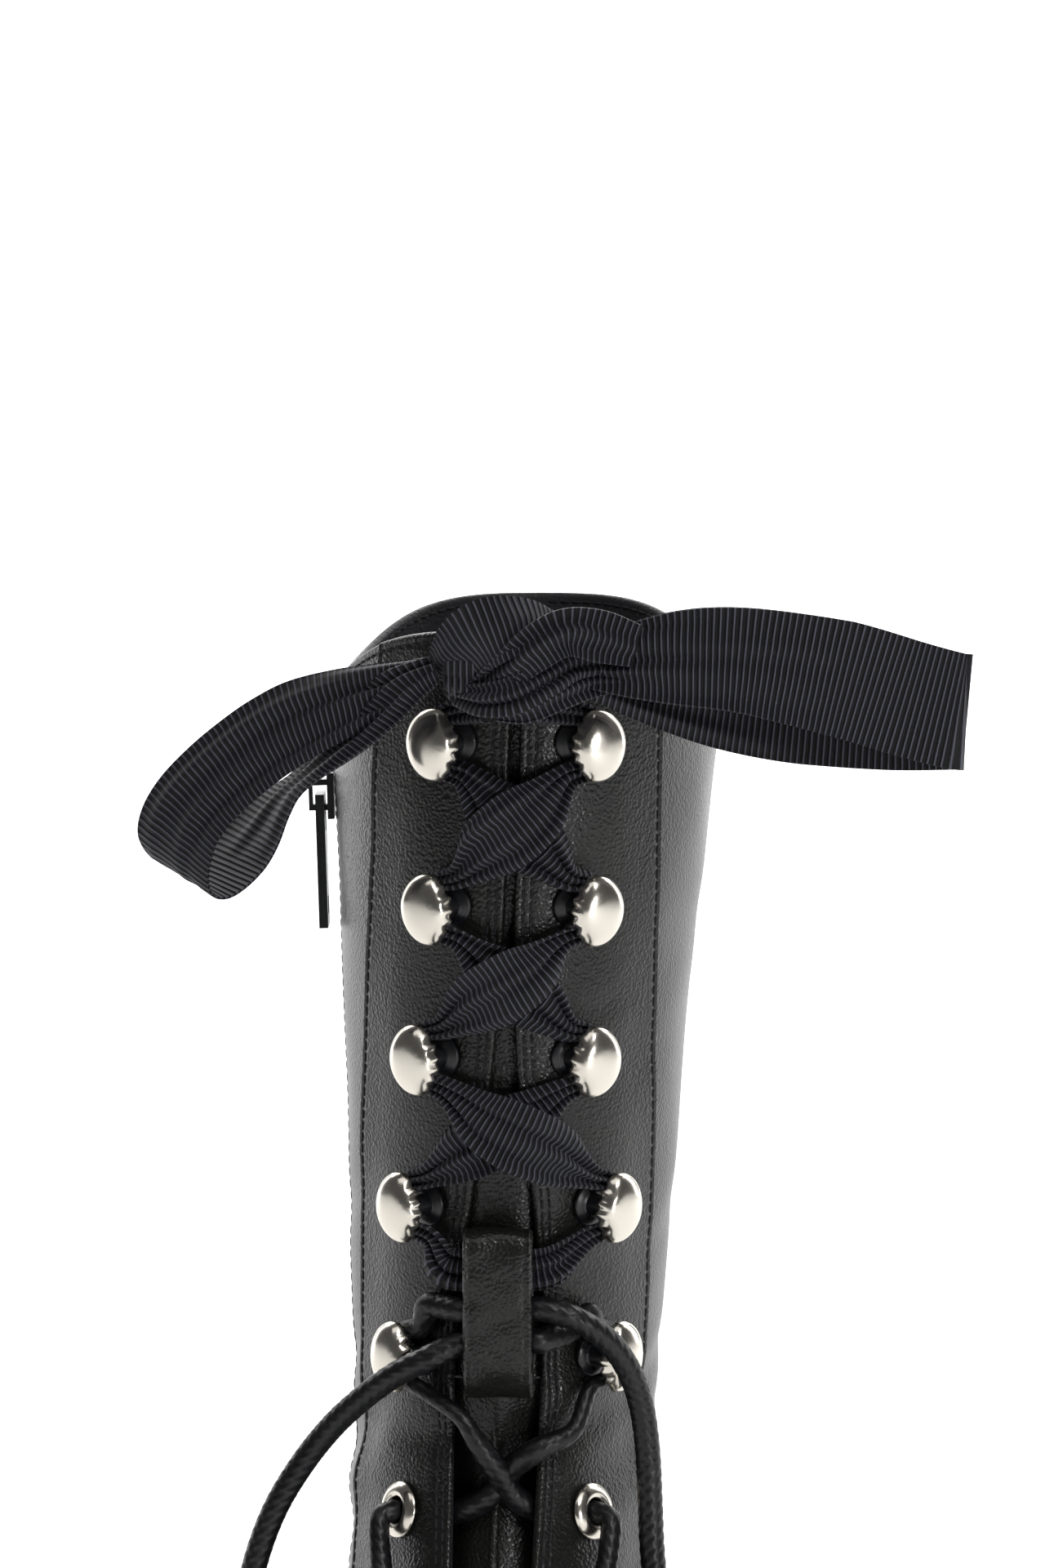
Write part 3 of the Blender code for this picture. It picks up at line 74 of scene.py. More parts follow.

# %% [markdown]
# ## Small tools
# Three helpers do most of the modelling. A smooth curve runs through a few given points, a
# grid of points becomes a mesh with UVs in millimetres, and a node helper keeps materials short.

# %% Curve and mesh tools


def through(values, at):
    """Values of a smooth curve through a list, at fractional indices."""
    values = np.asarray(values, float)
    last = len(values) - 1
    at = np.clip(np.asarray(at, float), 0, last)
    i = np.minimum(at.astype(int), last - 1)
    t = at - i
    padded = np.concatenate([[2 * values[0] - values[1]], values, [2 * values[-1] - values[-2]]])
    a, b, c, d = padded[i], padded[i + 1], padded[i + 2], padded[i + 3]
    if values.ndim > 1:
        t = t[..., None]
    return 0.5 * (
        2 * b + (c - a) * t + (2 * a - 5 * b + 4 * c - d) * t ** 2 + (3 * b - a - 3 * c + d) * t ** 3
    )


def even(points, step):
    """A smooth curve through points, with stops an equal step apart."""
    fine = through(points, np.linspace(0, len(points) - 1, len(points) * 24))
    run = np.concatenate([[0], np.cumsum(np.linalg.norm(np.diff(fine, axis=0), axis=1))])
    wanted = np.linspace(0, run[-1], max(int(run[-1] / step), 2) + 1)
    return np.stack([np.interp(wanted, run, fine[:, k]) for k in range(3)], axis=1), wanted


def unit(v):
    return v / np.maximum(np.linalg.norm(v, axis=-1, keepdims=True), 1e-12)


def piece(name, points, faces, look, body=BOOT, replaces=(), uv=None, closed=True):
    """A mesh piece that rides on a body, with smooth shading and the material's slot."""
    mesh = bpy.data.meshes.new(name)
    mesh.from_pydata([tuple(p) for p in points], [], [tuple(int(k) for k in f) for f in faces])
    mesh.validate()
    if uv is not None:
        layer = mesh.uv_layers.new(name="length_and_width")
        corner = np.zeros(len(mesh.loops), np.int32)
        mesh.loops.foreach_get("vertex_index", corner)
        layer.data.foreach_set("uv", np.asarray(uv, np.float32)[corner].ravel())
    if closed:
        work = bmesh.new()
        work.from_mesh(mesh)
        bmesh.ops.recalc_face_normals(work, faces=work.faces)
        work.to_mesh(mesh)
        work.free()
    mesh.shade_smooth()
    mesh.set_sharp_from_angle(angle=math.radians(50))
    mesh.materials.append(look)
    made = bpy.data.objects.new(name, mesh)
    bpy.context.scene.collection.objects.link(made)
    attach(made, body)
    if replaces:
        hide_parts(*replaces)
    return made


def grid_faces(rows, columns, wrap=False, start=0):
    """Quads of a grid of points; wrap joins its last column to its first."""
    r, c = np.meshgrid(np.arange(rows - 1), np.arange(columns if wrap else columns - 1), indexing="ij")
    after = (c + 1) % columns
    quads = [r * columns + c, r * columns + after, (r + 1) * columns + after, (r + 1) * columns + c]
    return (np.stack(quads, axis=-1).reshape(-1, 4) + start).tolist()


def joined(parts):
    """Points, faces and UVs of several (points, faces, uv) parts as one set."""
    points, faces, uvs = [], [], []
    for part_points, part_faces, part_uv in parts:
        base = sum(len(p) for p in points)
        points.append(np.asarray(part_points, float).reshape(-1, 3))
        uvs.append(np.asarray(part_uv, float).reshape(-1, 2))
        faces += [[k + base for k in f] for f in part_faces]
    return np.concatenate(points), faces, np.concatenate(uvs)


def turned(profile, sides, matrix):
    """A turned form from (radius, height) pairs in millimetres, closed at a zero radius."""
    angle = np.linspace(0, 2 * np.pi, sides, endpoint=False)
    radius, height = np.array(profile).T
    grid = np.stack([
        radius[:, None] * np.cos(angle),
        radius[:, None] * np.sin(angle),
        height[:, None] + 0 * angle,
    ], axis=-1) * MM
    return placed(grid.reshape(-1, 3), matrix), grid_faces(len(profile), sides, wrap=True)


def placed(points, matrix):
    m = np.array(matrix)
    return np.asarray(points) @ m[:3, :3].T + m[:3, 3]


def beads(centres, ways, normals, length, radius, sides=6):
    """Small rounded bars, such as stitches: one at each centre, along its own way."""
    ways, normals = unit(np.asarray(ways)), np.asarray(normals)
    asides = unit(np.cross(ways, normals))
    normals = np.cross(asides, ways)
    along = np.array([-0.5, -0.42, -0.2, 0.2, 0.42, 0.5]) * length
    size = np.array([0.25, 0.75, 1.0, 1.0, 0.75, 0.25]) * radius
    angle = np.linspace(0, 2 * np.pi, sides, endpoint=False)
    ring = (
        asides[:, None, None] * (size[:, None] * np.cos(angle))[None, ..., None]
        + normals[:, None, None] * (size[:, None] * np.sin(angle))[None, ..., None]
    )
    grid = np.asarray(centres)[:, None, None] + ways[:, None, None] * along[None, :, None, None] + ring
    count = len(along) * sides
    one = np.array(grid_faces(len(along), sides, wrap=True))
    faces = (one[None] + (np.arange(len(grid)) * count)[:, None, None]).reshape(-1, 4).tolist()
    return grid.reshape(-1, 3), faces


# %% [markdown]
# ## Materials
# Leather, ribbon, cord and metal each get their own node tree, named for the real material. Some
# colours carry painted light or shade: the lining's raised colours, the ribbon's bright rib lines and
# the dark metal on the hooks' nickel bases. Grain sizes are set from real millimetres: object
# coordinates are in metres, so a texture scale of 1000 gives detail one millimetre apart. Colours are
# read as screen colours and turned to linear light.

# %% Materials


def linear(code):
    """Linear colour of a screen colour such as 1a1a1c."""
    parts = [int(code[k:k + 2], 16) / 255 for k in (0, 2, 4)]
    return [c / 12.92 if c <= 0.04045 else ((c + 0.055) / 1.055) ** 2.4 for c in parts] + [1.0]


def new_look(name, colour, roughness, **values):
    """A material and a helper that adds a node and links its named inputs."""
    look = bpy.data.materials.new(name)
    look.use_nodes = True
    tree = look.node_tree
    shader = tree.nodes["Principled BSDF"]
    shader.inputs["Base Color"].default_value = linear(colour)
    shader.inputs["Roughness"].default_value = roughness
    for key, value in values.items():
        shader.inputs[key.replace("_", " ")].default_value = value

    def add(kind, links=None, **settings):
        node = tree.nodes.new("ShaderNode" + kind)
        for key, value in settings.items():
            if hasattr(node, key):
                setattr(node, key, value)
            else:
                node.inputs[key.replace("_", " ")].default_value = value
        for key, socket in (links or {}).items():
            tree.links.new(socket, node.inputs[key])
        return node

    return look, shader, tree, add


def ramp(add, socket, *stops):
    """A colour ramp on a value, from (place, screen colour) stops."""
    node = add("ValToRGB", {"Fac": socket})
    while len(node.color_ramp.elements) < len(stops):
        node.color_ramp.elements.new(0.5)
    for element, (place, colour) in zip(node.color_ramp.elements, stops):
        element.position = place
        element.color = linear(colour)
    return node.outputs["Color"]


def leather(name, dark, light, low, high, grain=1.0, coat=0.25):
    """Grained leather: pebbles under a millimetre, fine pores and slow changes of gloss."""
    look, shader, tree, add = new_look(name, dark, low, Specular_IOR_Level=0.3,
                                       Coat_Weight=coat, Coat_Roughness=0.13)
    place = add("TexCoord").outputs["Object"]
    slow = add("TexNoise", {"Vector": place}, Scale=55.0, Detail=3.0).outputs["Fac"]
    pebble = add("TexVoronoi", {"Vector": place}, Scale=1500.0, feature="SMOOTH_F1", Smoothness=0.6)
    pores = add("TexNoise", {"Vector": place}, Scale=2600.0, Detail=3.0).outputs["Fac"]
    wrinkle = add("TexNoise", {"Vector": place}, Scale=330.0, Detail=4.0, Roughness=0.65).outputs["Fac"]
    tree.links.new(ramp(add, slow, (0.3, dark), (0.75, light)), shader.inputs["Base Color"])
    gloss = add("MapRange", {"Value": slow}, To_Min=low, To_Max=high)
    tree.links.new(gloss.outputs["Result"], shader.inputs["Roughness"])
    fold = add("Bump", {"Height": wrinkle}, Strength=0.14 * grain, Distance=0.0007)
    cells = add("Bump", {"Height": pebble.outputs["Distance"], "Normal": fold.outputs["Normal"]},
                Strength=0.7 * grain, Distance=0.00022)
    fine = add("Bump", {"Height": pores, "Normal": cells.outputs["Normal"]},
               Strength=0.16 * grain, Distance=0.0001)
    tree.links.new(fine.outputs["Normal"], shader.inputs["Normal"])
    tree.links.new(fine.outputs["Normal"], shader.inputs["Coat Normal"])
    return look


def ribbon_look():
    """Ribbed ribbon: weft ribs run across it, a little over a millimetre apart."""
    look, shader, tree, add = new_look("grosgrain_ribbon", "20202b", 0.62, Sheen_Weight=0.06,
                                       Sheen_Roughness=0.45, Specular_IOR_Level=0.25)
    place = add("TexCoord").outputs["UV"]
    ribs = add("TexWave", {"Vector": place}, Scale=0.262, Distortion=0.25, Detail=1.0,
               wave_type="BANDS", bands_direction="X", wave_profile="SIN").outputs["Fac"]
    weave = add("TexWave", {"Vector": place}, Scale=1.1, Distortion=0.6, wave_type="BANDS",
                bands_direction="Y", wave_profile="SIN").outputs["Fac"]
    # Colour along the ribs: the ribbon's own navy-black, darker towards each rib's valley, with painted
    # highlight as a thin bright line on each rib's crest.
    tree.links.new(ramp(add, ribs, (0.42, "0f0f13"), (0.80, "1d1d24"), (0.98, "54555f")),
                   shader.inputs["Base Color"])
    tree.links.new(add("Bump", {
        "Height": ribs,
        "Normal": add("Bump", {"Height": weave}, Strength=0.25, Distance=0.0001).outputs["Normal"],
    }, Strength=0.85, Distance=0.00045).outputs["Normal"], shader.inputs["Normal"])
    return look


def cord_look():
    """Waxed cotton: dark in the braid's valleys, with a soft shine on its strands."""
    look, shader, tree, add = new_look("waxed_cord", "101012", 0.36, Specular_IOR_Level=0.4)
    place = add("TexCoord").outputs["Object"]
    fibre = add("TexNoise", {"Vector": place}, Scale=2400.0, Detail=3.0).outputs["Fac"]
    slow = add("TexNoise", {"Vector": place}, Scale=160.0, Detail=2.0).outputs["Fac"]
    tree.links.new(ramp(add, slow, (0.35, "0e0e10"), (0.75, "18181b")), shader.inputs["Base Color"])
    tree.links.new(add("Bump", {"Height": fibre}, Strength=0.3, Distance=0.00015).outputs["Normal"],
                   shader.inputs["Normal"])
    return look


def metal_look(name, colour, roughness, metallic, scratch):
    look, shader, tree, add = new_look(name, colour, roughness, Metallic=metallic)
    place = add("TexCoord").outputs["Object"]
    haze = add("TexNoise", {"Vector": place}, Scale=240.0, Detail=3.0).outputs["Fac"]
    tree.links.new(add("MapRange", {"Value": haze}, To_Min=roughness * 0.6,
                       To_Max=roughness * 1.6).outputs["Result"], shader.inputs["Roughness"])
    dents = add("TexNoise", {"Vector": place}, Scale=420.0, Detail=2.0).outputs["Fac"]
    tree.links.new(add("Bump", {"Height": dents}, Strength=scratch, Distance=0.0002).outputs["Normal"],
                   shader.inputs["Normal"])
    return look


def cloth_look(name, dark, light, scale):
    look, shader, tree, add = new_look(name, dark, 0.8)
    place = add("TexCoord").outputs["Object"]
    weave = add("TexNoise", {"Vector": place}, Scale=scale, Detail=2.0).outputs["Fac"]
    tree.links.new(ramp(add, weave, (0.35, dark), (0.7, light)), shader.inputs["Base Color"])
    tree.links.new(add("Bump", {"Height": weave}, Strength=0.4, Distance=0.0002).outputs["Normal"],
                   shader.inputs["Normal"])
    return look


BLACK_LEATHER = leather("black_leather", "131312", "1b1b19", 0.34, 0.44)
# The lining is the same black leather: its raised colours are painted light on the collar's inside.
LINING_LEATHER_WITH_PAINTED_LIGHT = leather("lining_leather", "242326", "302f33", 0.42, 0.55, grain=0.6, coat=0.05)
SOLE_LEATHER = leather("sole_leather", "1b1817", "282421", 0.5, 0.66, grain=0.7, coat=0.0)
HEEL_LEATHER = leather("heel_cover", "121214", "1a1a1c", 0.26, 0.36, grain=0.5, coat=0.3)
THREAD = cloth_look("thread", "121215", "1e1e23", 2200.0)
TAPE = cloth_look("zip_tape", "101013", "1d1d21", 1600.0)
RUBBER = cloth_look("heel_rubber", "141414", "202020", 700.0)
RIBBON = ribbon_look()
CORD = cord_look()
NICKEL = metal_look("polished_nickel", "e4ded3", 0.19, 1.0, 0.06)
# Black metal: the zip parts' and lace tips' own finish, and painted shade where it colours the hooks' nickel
# flanges and necks.
BLACK_METAL_AND_PAINTED_SHADE = metal_look("black_metal", "17181b", 0.28, 0.0, 0.1)
print("materials made:", len(bpy.data.materials))

# %% [markdown]
# ## The last's form
# A boot is drawn over a last, so its skin is one smooth surface. Each row of the table is a section
# plane from the front line to the back seam, or to the sole where the back height is missing. Both
# are the tables of the CAD part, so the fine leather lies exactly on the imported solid.

# %% Section tables
# Front y, z; back y, z; centre; medial and lateral width; where it is widest; how it is crowned
SECTIONS = [
    (-58.0, 320.0, 54.0, 320.0, 4.8, -34.8, 44.4, 0.50, 1.00),
    (-55.4, 282.0, 49.5, 282.0, 3.5, -33.9, 40.9, 0.50, 1.00),
    (-51.6, 244.0, 44.0, 244.0, 2.1, -32.4, 36.6, 0.51, 0.96),
    (-48.0, 208.0, 39.0, 208.0, 1.1, -31.6, 33.8, 0.53, 0.90),
    (-45.6, 177.0, 36.0, 174.0, 0.2, -31.0, 31.2, 0.55, 0.86),
    (-47.6, 153.0, 35.4, 147.0, -0.4, -31.2, 30.6, 0.56, 0.85),
    (-54.4, 134.0, 35.8, 122.0, -0.8, -31.8, 31.6, 0.57, 0.86),
    (-64.5, 117.0, 36.2, 98.0, -1.0, -32.4, 32.8, 0.58, 0.88),
    (-75.5, 104.0, 34.6, 78.0, -1.2, -32.6, 33.4, 0.60, 0.90),
    (-84.5, 95.5, 30.2, np.nan, -1.4, -32.6, 33.6, 0.62, 0.92),
    (-91.5, 89.5, 22.0, np.nan, -1.6, -32.6, 33.8, 0.62, 0.94),
    (-99.0, 83.0, 4.0, np.nan, -1.8, -32.6, 34.2, 0.62, 0.96),
    (-107.0, 76.0, -20.0, np.nan, -2.0, -32.8, 34.8, 0.62, 0.98),
    (-116.0, 68.5, -48.0, np.nan, -2.4, -33.6, 36.0, 0.62, 1.00),
    (-127.0, 60.5, -78.0, np.nan, -2.8, -36.6, 38.8, 0.62, 1.00),
    (-139.0, 53.0, -104.0, np.nan, -3.2, -39.8, 41.2, 0.63, 1.00),
    (-153.0, 46.0, -128.0, np.nan, -3.6, -40.8, 40.8, 0.64, 1.00),
    (-168.0, 40.5, -150.0, np.nan, -4.0, -38.4, 36.4, 0.66, 1.00),
    (-182.0, 36.5, -170.0, np.nan, -4.4, -33.2, 29.6, 0.68, 1.00),
    (-194.0, 32.0, -187.0, np.nan, -4.6, -26.8, 20.8, 0.70, 1.00),
    (-202.0, 26.0, -198.5, np.nan, -4.8, -19.2, 11.2, 0.70, 1.00),
    (-206.4, 20.0, -205.3, np.nan, -4.8, -13.6, 4.0, 0.65, 1.00),
    (-207.6, 17.5, -208.2, np.nan, -4.8, -4.8, -4.8, 0.60, 1.00),
]
CORNER_ROW, THROAT_END, VAMP_ROW, ZIP_END = 9, 11.3, 12.0, 7.0
# Row; half the throat's width; seam and zip as shares of the way round
OPENINGS = [
    (0.0, 0.9, 0.215, 0.480),
    (1.4, 0.9, 0.260, 0.490),
    (2.2, 2.2, 0.300, 0.500),
    (3.0, 6.5, 0.340, 0.510),
    (4.1, 9.6, 0.370, 0.520),
    (5.4, 9.2, 0.390, 0.530),
    (8.0, 7.0, 0.450, 0.590),
    (9.8, 5.2, 0.470, 0.620),
    (11.3, 3.6, 0.490, 0.640),
    (12.0, 3.4, 0.500, 0.650),
    (22.0, 3.0, 0.500, 0.650),
]
# Underside of the outsole along the foot
SOLE_LINE = [
    (-210.0, 10.5), (-202.0, 7.6), (-190.0, 4.2), (-176.0, 1.4), (-164.0, 0.0),
    (-118.0, 0.0), (-108.0, 1.6), (-98.0, 5.4), (-84.0, 11.8), (-68.0, 20.6),
    (-50.0, 31.4), (-34.0, 40.4), (-18.0, 47.2), (0.0, 52.0), (34.0, 57.6),
]
# Sole's edge: y, medial x and lateral x
SOLE_PLAN = [
    (28.0, -14.0, 14.0),
    (20.0, -22.5, 22.5),
    (8.0, -27.5, 27.5),
    (-8.0, -28.5, 28.5),
    (-26.0, -26.5, 28.0),
    (-46.0, -23.5, 28.5),
    (-66.0, -25.0, 32.0),
    (-88.0, -32.0, 37.5),
    (-108.0, -39.0, 41.0),
    (-124.0, -41.5, 42.0),
    (-142.0, -40.5, 39.5),
    (-160.0, -37.0, 34.0),
    (-176.0, -32.0, 27.0),
    (-190.0, -26.0, 19.0),
    (-201.0, -18.5, 10.0),
]
HEEL_ROWS = [
    (0.00, 31.4, -23.0, 28.0),
    (0.12, 29.2, -21.6, 26.4),
    (0.32, 24.6, -19.2, 22.4),
    (0.56, 20.4, -17.6, 19.0),
    (0.80, 18.6, -17.2, 17.8),
    (1.00, 19.0, -18.0, 18.4),
]
# Hooks: height, and the dome's middle left and right
HOOK_ROWS = [
    (298.7, -11.5, 20.2),
    (266.8, -12.8, 19.9),
    (237.0, -15.6, 19.5),
    (207.2, -19.1, 24.0),
    (176.6, -20.8, 24.4),
]
EYELET_ROWS = [
    (5.32, 23.0),
    (6.72, 22.0),
    (8.30, 20.6),
    (10.10, 18.8),
]
KEEPER_LOOP = [
    (171.2, -1.4), (186.0, -1.45), (199.6, -1.5), (202.4, 0.2), (203.2, 3.0), (201.8, 5.4),
    (198.0, 6.4), (188.0, 6.6), (178.0, 6.2), (173.6, 4.0), (171.0, 1.0),
]
CORD_END_LEFT = [
    (6.5, -48.4, 181.3), (1.0, -48.4, 181.4), (-4.0, -48.4, 181.3), (-8.0, -48.6, 180.3),
    (-14.0, -49.4, 177.4), (-20.0, -47.8, 174.0), (-26.0, -45.2, 169.2), (-32.3, -43.0, 163.0),
    (-38.5, -42.0, 155.0), (-44.0, -41.5, 145.5), (-48.0, -41.2, 134.0), (-50.5, -41.2, 120.0),
    (-52.0, -41.5, 105.0), (-52.8, -42.0, 90.0), (-53.0, -42.5, 75.0), (-53.0, -43.0, 60.0),
    (-53.0, -43.5, 46.0),
]
CORD_END_RIGHT = [
    (-4.7, -48.4, 187.2), (0.7, -48.4, 187.3), (5.6, -48.4, 187.4), (10.4, -48.9, 187.4),
    (16.4, -48.4, 185.2), (22.0, -45.5, 180.5), (25.8, -43.0, 174.5), (28.2, -41.0, 167.0),
    (29.4, -40.2, 158.0), (29.9, -40.2, 148.0), (30.4, -41.0, 138.0), (31.8, -43.0, 126.0),
    (34.8, -46.0, 114.0), (38.6, -50.0, 102.0), (42.0, -53.0, 90.0), (44.0, -55.0, 77.0),
    (45.0, -56.0, 63.0), (45.2, -57.0, 49.0),
]
# The bow's left loop: its two edges, x y z each, from the knot out, round its end and back
BOW_LEFT_EDGES = [
    (-10.4, -66.0, 316.0, -10.3, -67.0, 310.1),
    (-15.9, -65.0, 315.5, -15.3, -68.0, 307.6),
    (-22.0, -64.0, 314.8, -20.8, -69.0, 304.2),
    (-30.1, -62.0, 313.4, -27.8, -70.0, 300.3),
    (-39.2, -60.5, 310.7, -34.0, -71.0, 296.6),
    (-46.3, -60.0, 306.9, -39.0, -71.5, 293.4),
    (-52.8, -60.0, 302.3, -43.5, -72.0, 289.9),
    (-58.8, -60.0, 297.3, -48.0, -72.0, 285.7),
    (-63.9, -60.0, 292.0, -51.3, -72.5, 281.4),
    (-67.1, -60.0, 286.8, -52.8, -73.0, 277.0),
    (-68.3, -59.5, 281.7, -53.2, -73.0, 273.2),
    (-67.0, -58.5, 277.7, -52.1, -73.0, 270.8),
    (-64.0, -57.0, 275.4, -49.5, -73.0, 270.5),
    (-60.0, -56.0, 275.8, -46.2, -73.0, 272.4),
    (-55.5, -55.0, 279.3, -42.7, -72.5, 275.9),
    (-50.6, -54.0, 283.7, -40.1, -72.5, 280.4),
    (-46.1, -53.5, 287.4, -38.2, -72.5, 285.7),
    (-42.5, -53.5, 289.7, -36.1, -73.0, 289.9),
    (-38.7, -55.0, 292.1, -32.9, -73.5, 293.1),
    (-34.1, -58.0, 296.9, -28.1, -74.0, 296.4),
    (-28.7, -61.0, 302.7, -22.3, -74.5, 300.3),
    (-24.0, -64.0, 309.0, -16.8, -74.5, 304.5),
    (-19.4, -66.0, 312.9, -13.0, -74.5, 308.3),
    (-10.3, -67.5, 315.9, -9.5, -73.5, 311.7),
]
# Its right loop: middle line, and open share of the ribbon's width
BOW_RIGHT = [
    (19.1, -71.5, 315.2, 0.45),
    (27.0, -73.0, 315.8, 0.64),
    (37.0, -74.0, 316.2, 0.82),
    (50.0, -74.0, 315.6, 0.91),
    (66.0, -73.0, 312.6, 1.00),
    (80.0, -71.0, 308.4, 1.00),
    (88.0, -69.4, 306.2, 1.00),
    (90.2, -67.4, 305.8, 1.00),
    (88.0, -65.6, 305.7, 1.00),
    (76.0, -65.0, 305.5, 1.00),
    (60.0, -65.0, 306.5, 1.00),
    (45.0, -65.0, 308.2, 0.91),
    (30.0, -65.5, 310.8, 0.68),
    (19.9, -66.0, 313.0, 0.45),
]
WALL, GAP, CORD_DIAMETER = 2.0 * MM, 0.3 * MM, 5.0 * MM
print("section rows:", len(SECTIONS))

# %% [markdown]
# The sections are worked out once, on a fine grid of rows and shares.

# %% The leather's surface


def eased(points, place):
    """Height on a smooth line through (place, height) points that never overshoots."""
    places, heights = np.array(points, float).T
    slopes = np.diff(heights) / np.diff(places)
    before, after = slopes[:-1], slopes[1:]
    same = before * after > 0
    middle = np.where(same, 2 * before * after / np.where(same, before + after, 1), 0.0)
    tangents = np.concatenate([[slopes[0]], middle, [slopes[-1]]])
    place = np.clip(np.asarray(place, float), places[0], places[-1])
    i = np.clip(np.searchsorted(places, place, side="left") - 1, 0, len(slopes) - 1)
    width = places[i + 1] - places[i]
    t = (place - places[i]) / width
    start, end = heights[i], heights[i + 1]
    rise, fall = tangents[i] * width, tangents[i + 1] * width
    return (start + rise * t + (3 * (end - start) - 2 * rise - fall) * t * t
            + (2 * (start - end) + rise + fall) * t ** 3)


def sole_bottom(y):
    return eased(SOLE_LINE, np.asarray(y) / MM) * MM


def seat(y):
    return sole_bottom(y) + 3.5 * MM + GAP


def plan_edge(side):
    near = [(r[2] if side > 0 else r[1], r[0]) for r in SOLE_PLAN]
    far = [(r[1] if side > 0 else r[2], r[0]) for r in SOLE_PLAN]
    route = [far[0], (0.0, 32.0)] + near + [(-5.0, -210.0), far[-1]]
    count = (len(route) - 3) * 24
    return through(route, 1 + np.arange(count + 1) / 24) * MM


EDGES = {side: plan_edge(side) for side in (-1, 1)}


def plan_x(y, side, inset=0.0):
    """X of the sole's edge at y, drawn in all round by an inset."""
    wanted = -89 * MM + (np.asarray(y) + 89 * MM) * 121 * MM / (121 * MM - inset)
    points = EDGES[side][::-1]
    return np.interp(wanted, points[:, 1], points[:, 0]) * (1 - inset / (42 * MM))


COLUMNS = np.array(SECTIONS, float)
ON_FLOOR = np.isnan(COLUMNS[:, 3])
COLUMNS[ON_FLOOR, 3] = seat(COLUMNS[ON_FLOOR, 2] * MM) / MM
LAST_ROW = len(SECTIONS) - 1
ROW_STEP, SHARES = 0.02, np.linspace(0, 1, 241)
FINE_ROWS = np.arange(0, LAST_ROW + ROW_STEP / 2, ROW_STEP)


def section(row, side):
    """Points at equal shares of one side of a section, and its length."""
    fy, fz, by, bz, ridge, medial, lateral, middle, crown = through(COLUMNS, row)
    on_sole = row >= CORNER_ROW
    if on_sole:
        bz = seat(by * MM) / MM
    edge = plan_x(by * MM, side, 1.8 * MM) / MM if on_sole else max(ridge, 0.0)
    if row >= LAST_ROW:
        edge = ridge
    widest = lateral if side > 0 else medial
    if on_sole and row < LAST_ROW:
        widest = side * max(side * widest, side * edge + 0.3)
    angle = np.linspace(0, np.pi / 2, 97)
    x = np.concatenate([ridge + (widest - ridge) * np.sin(angle),
                        edge + (widest - edge) * np.cos(angle[1:])])
    share = np.concatenate([middle * (1 - np.cos(angle)) ** crown,
                            middle + (1 - middle) * np.sin(angle[1:])])
    points = np.stack([x, fy + (by - fy) * share, fz + (bz - fz) * share], axis=1) * MM
    run = np.concatenate([[0], np.cumsum(np.linalg.norm(np.diff(points, axis=0), axis=1))])
    even_points = [np.interp(SHARES * run[-1], run, points[:, k]) for k in range(3)]
    return np.stack(even_points, axis=1), run[-1]


TABLE, LENGTH = {}, {}
for side in (-1, 1):
    sections = [section(row, side) for row in FINE_ROWS]
    TABLE[side] = np.stack([s[0] for s in sections])
    LENGTH[side] = np.array([s[1] for s in sections])


def on_table(row, share, side):
    row = np.clip(row, 0, LAST_ROW) / ROW_STEP
    share = np.clip(share, 0, 1) * (len(SHARES) - 1)
    i = np.minimum(row.astype(int), len(FINE_ROWS) - 2)
    j = np.minimum(share.astype(int), len(SHARES) - 2)
    t, u = (row - i)[..., None], (share - j)[..., None]
    table = TABLE[side]
    return ((table[i, j] * (1 - t) + table[i + 1, j] * t) * (1 - u)
            + (table[i, j + 1] * (1 - t) + table[i + 1, j + 1] * t) * u)


def skin(row, share, side):
    """Point of the leather's smooth outer face, with the collar's dip at its sides."""
    row, share = np.broadcast_arrays(np.asarray(row, float), np.asarray(share, float))
    flat = on_table(row, share, side)
    sides = through(COLUMNS[:, 4:7], np.clip(row, 0, 3))
    widest = sides[..., 2] if side > 0 else sides[..., 1]
    lean = np.minimum(np.abs((flat[..., 0] / MM - sides[..., 0]) / (widest - sides[..., 0])), 1)
    dip = 14.4 * lean ** 4 / 38.0 * np.maximum(1 - row / 1.6, 0)
    return on_table(row + dip, share, side)


def facing_out(row, share, side):
    row, share = np.broadcast_arrays(np.asarray(row, float), np.asarray(share, float))
    up = skin(row - 0.06, share, side) - skin(row + 0.06, share, side)
    across = skin(row, np.minimum(share + 0.014, 1), side) - skin(row, np.maximum(share - 0.014, 0), side)
    return unit(np.cross(across, up) * side)


def outward(row, share, side):
    """Unit normals; the two sides share theirs where they meet."""
    row, share = np.broadcast_arrays(np.asarray(row, float), np.asarray(share, float))
    here = facing_out(row, share, side)
    other = facing_out(row, share, -side)
    both = unit((here + other) * np.array([0.0, 1.0, 1.0]))
    near = np.clip(1 - share / 0.03, 0, 1)
    rear = np.where(row < CORNER_ROW, np.clip((share - 0.97) / 0.03, 0, 1), 0)
    weight = np.maximum(np.maximum(near, rear) ** 2, (row >= LAST_ROW) * 1.0)[..., None]
    return unit(here * (1 - weight) + both * weight)


def length_at(row, side):
    return np.interp(row, FINE_ROWS, LENGTH[side])


FRONT_LINE = np.linalg.norm(np.diff(TABLE[1][:, 0], axis=0), axis=1)
DOWN = np.concatenate([[0], np.cumsum(FRONT_LINE)]) / MM


def down(row):
    """Millimetres down the front line from the collar to a row."""
    return np.interp(row, FINE_ROWS, DOWN)


def row_at(distance):
    return np.interp(distance, DOWN, FINE_ROWS)


def opening(column, row):
    return eased([(r[0], r[column]) for r in OPENINGS], row)


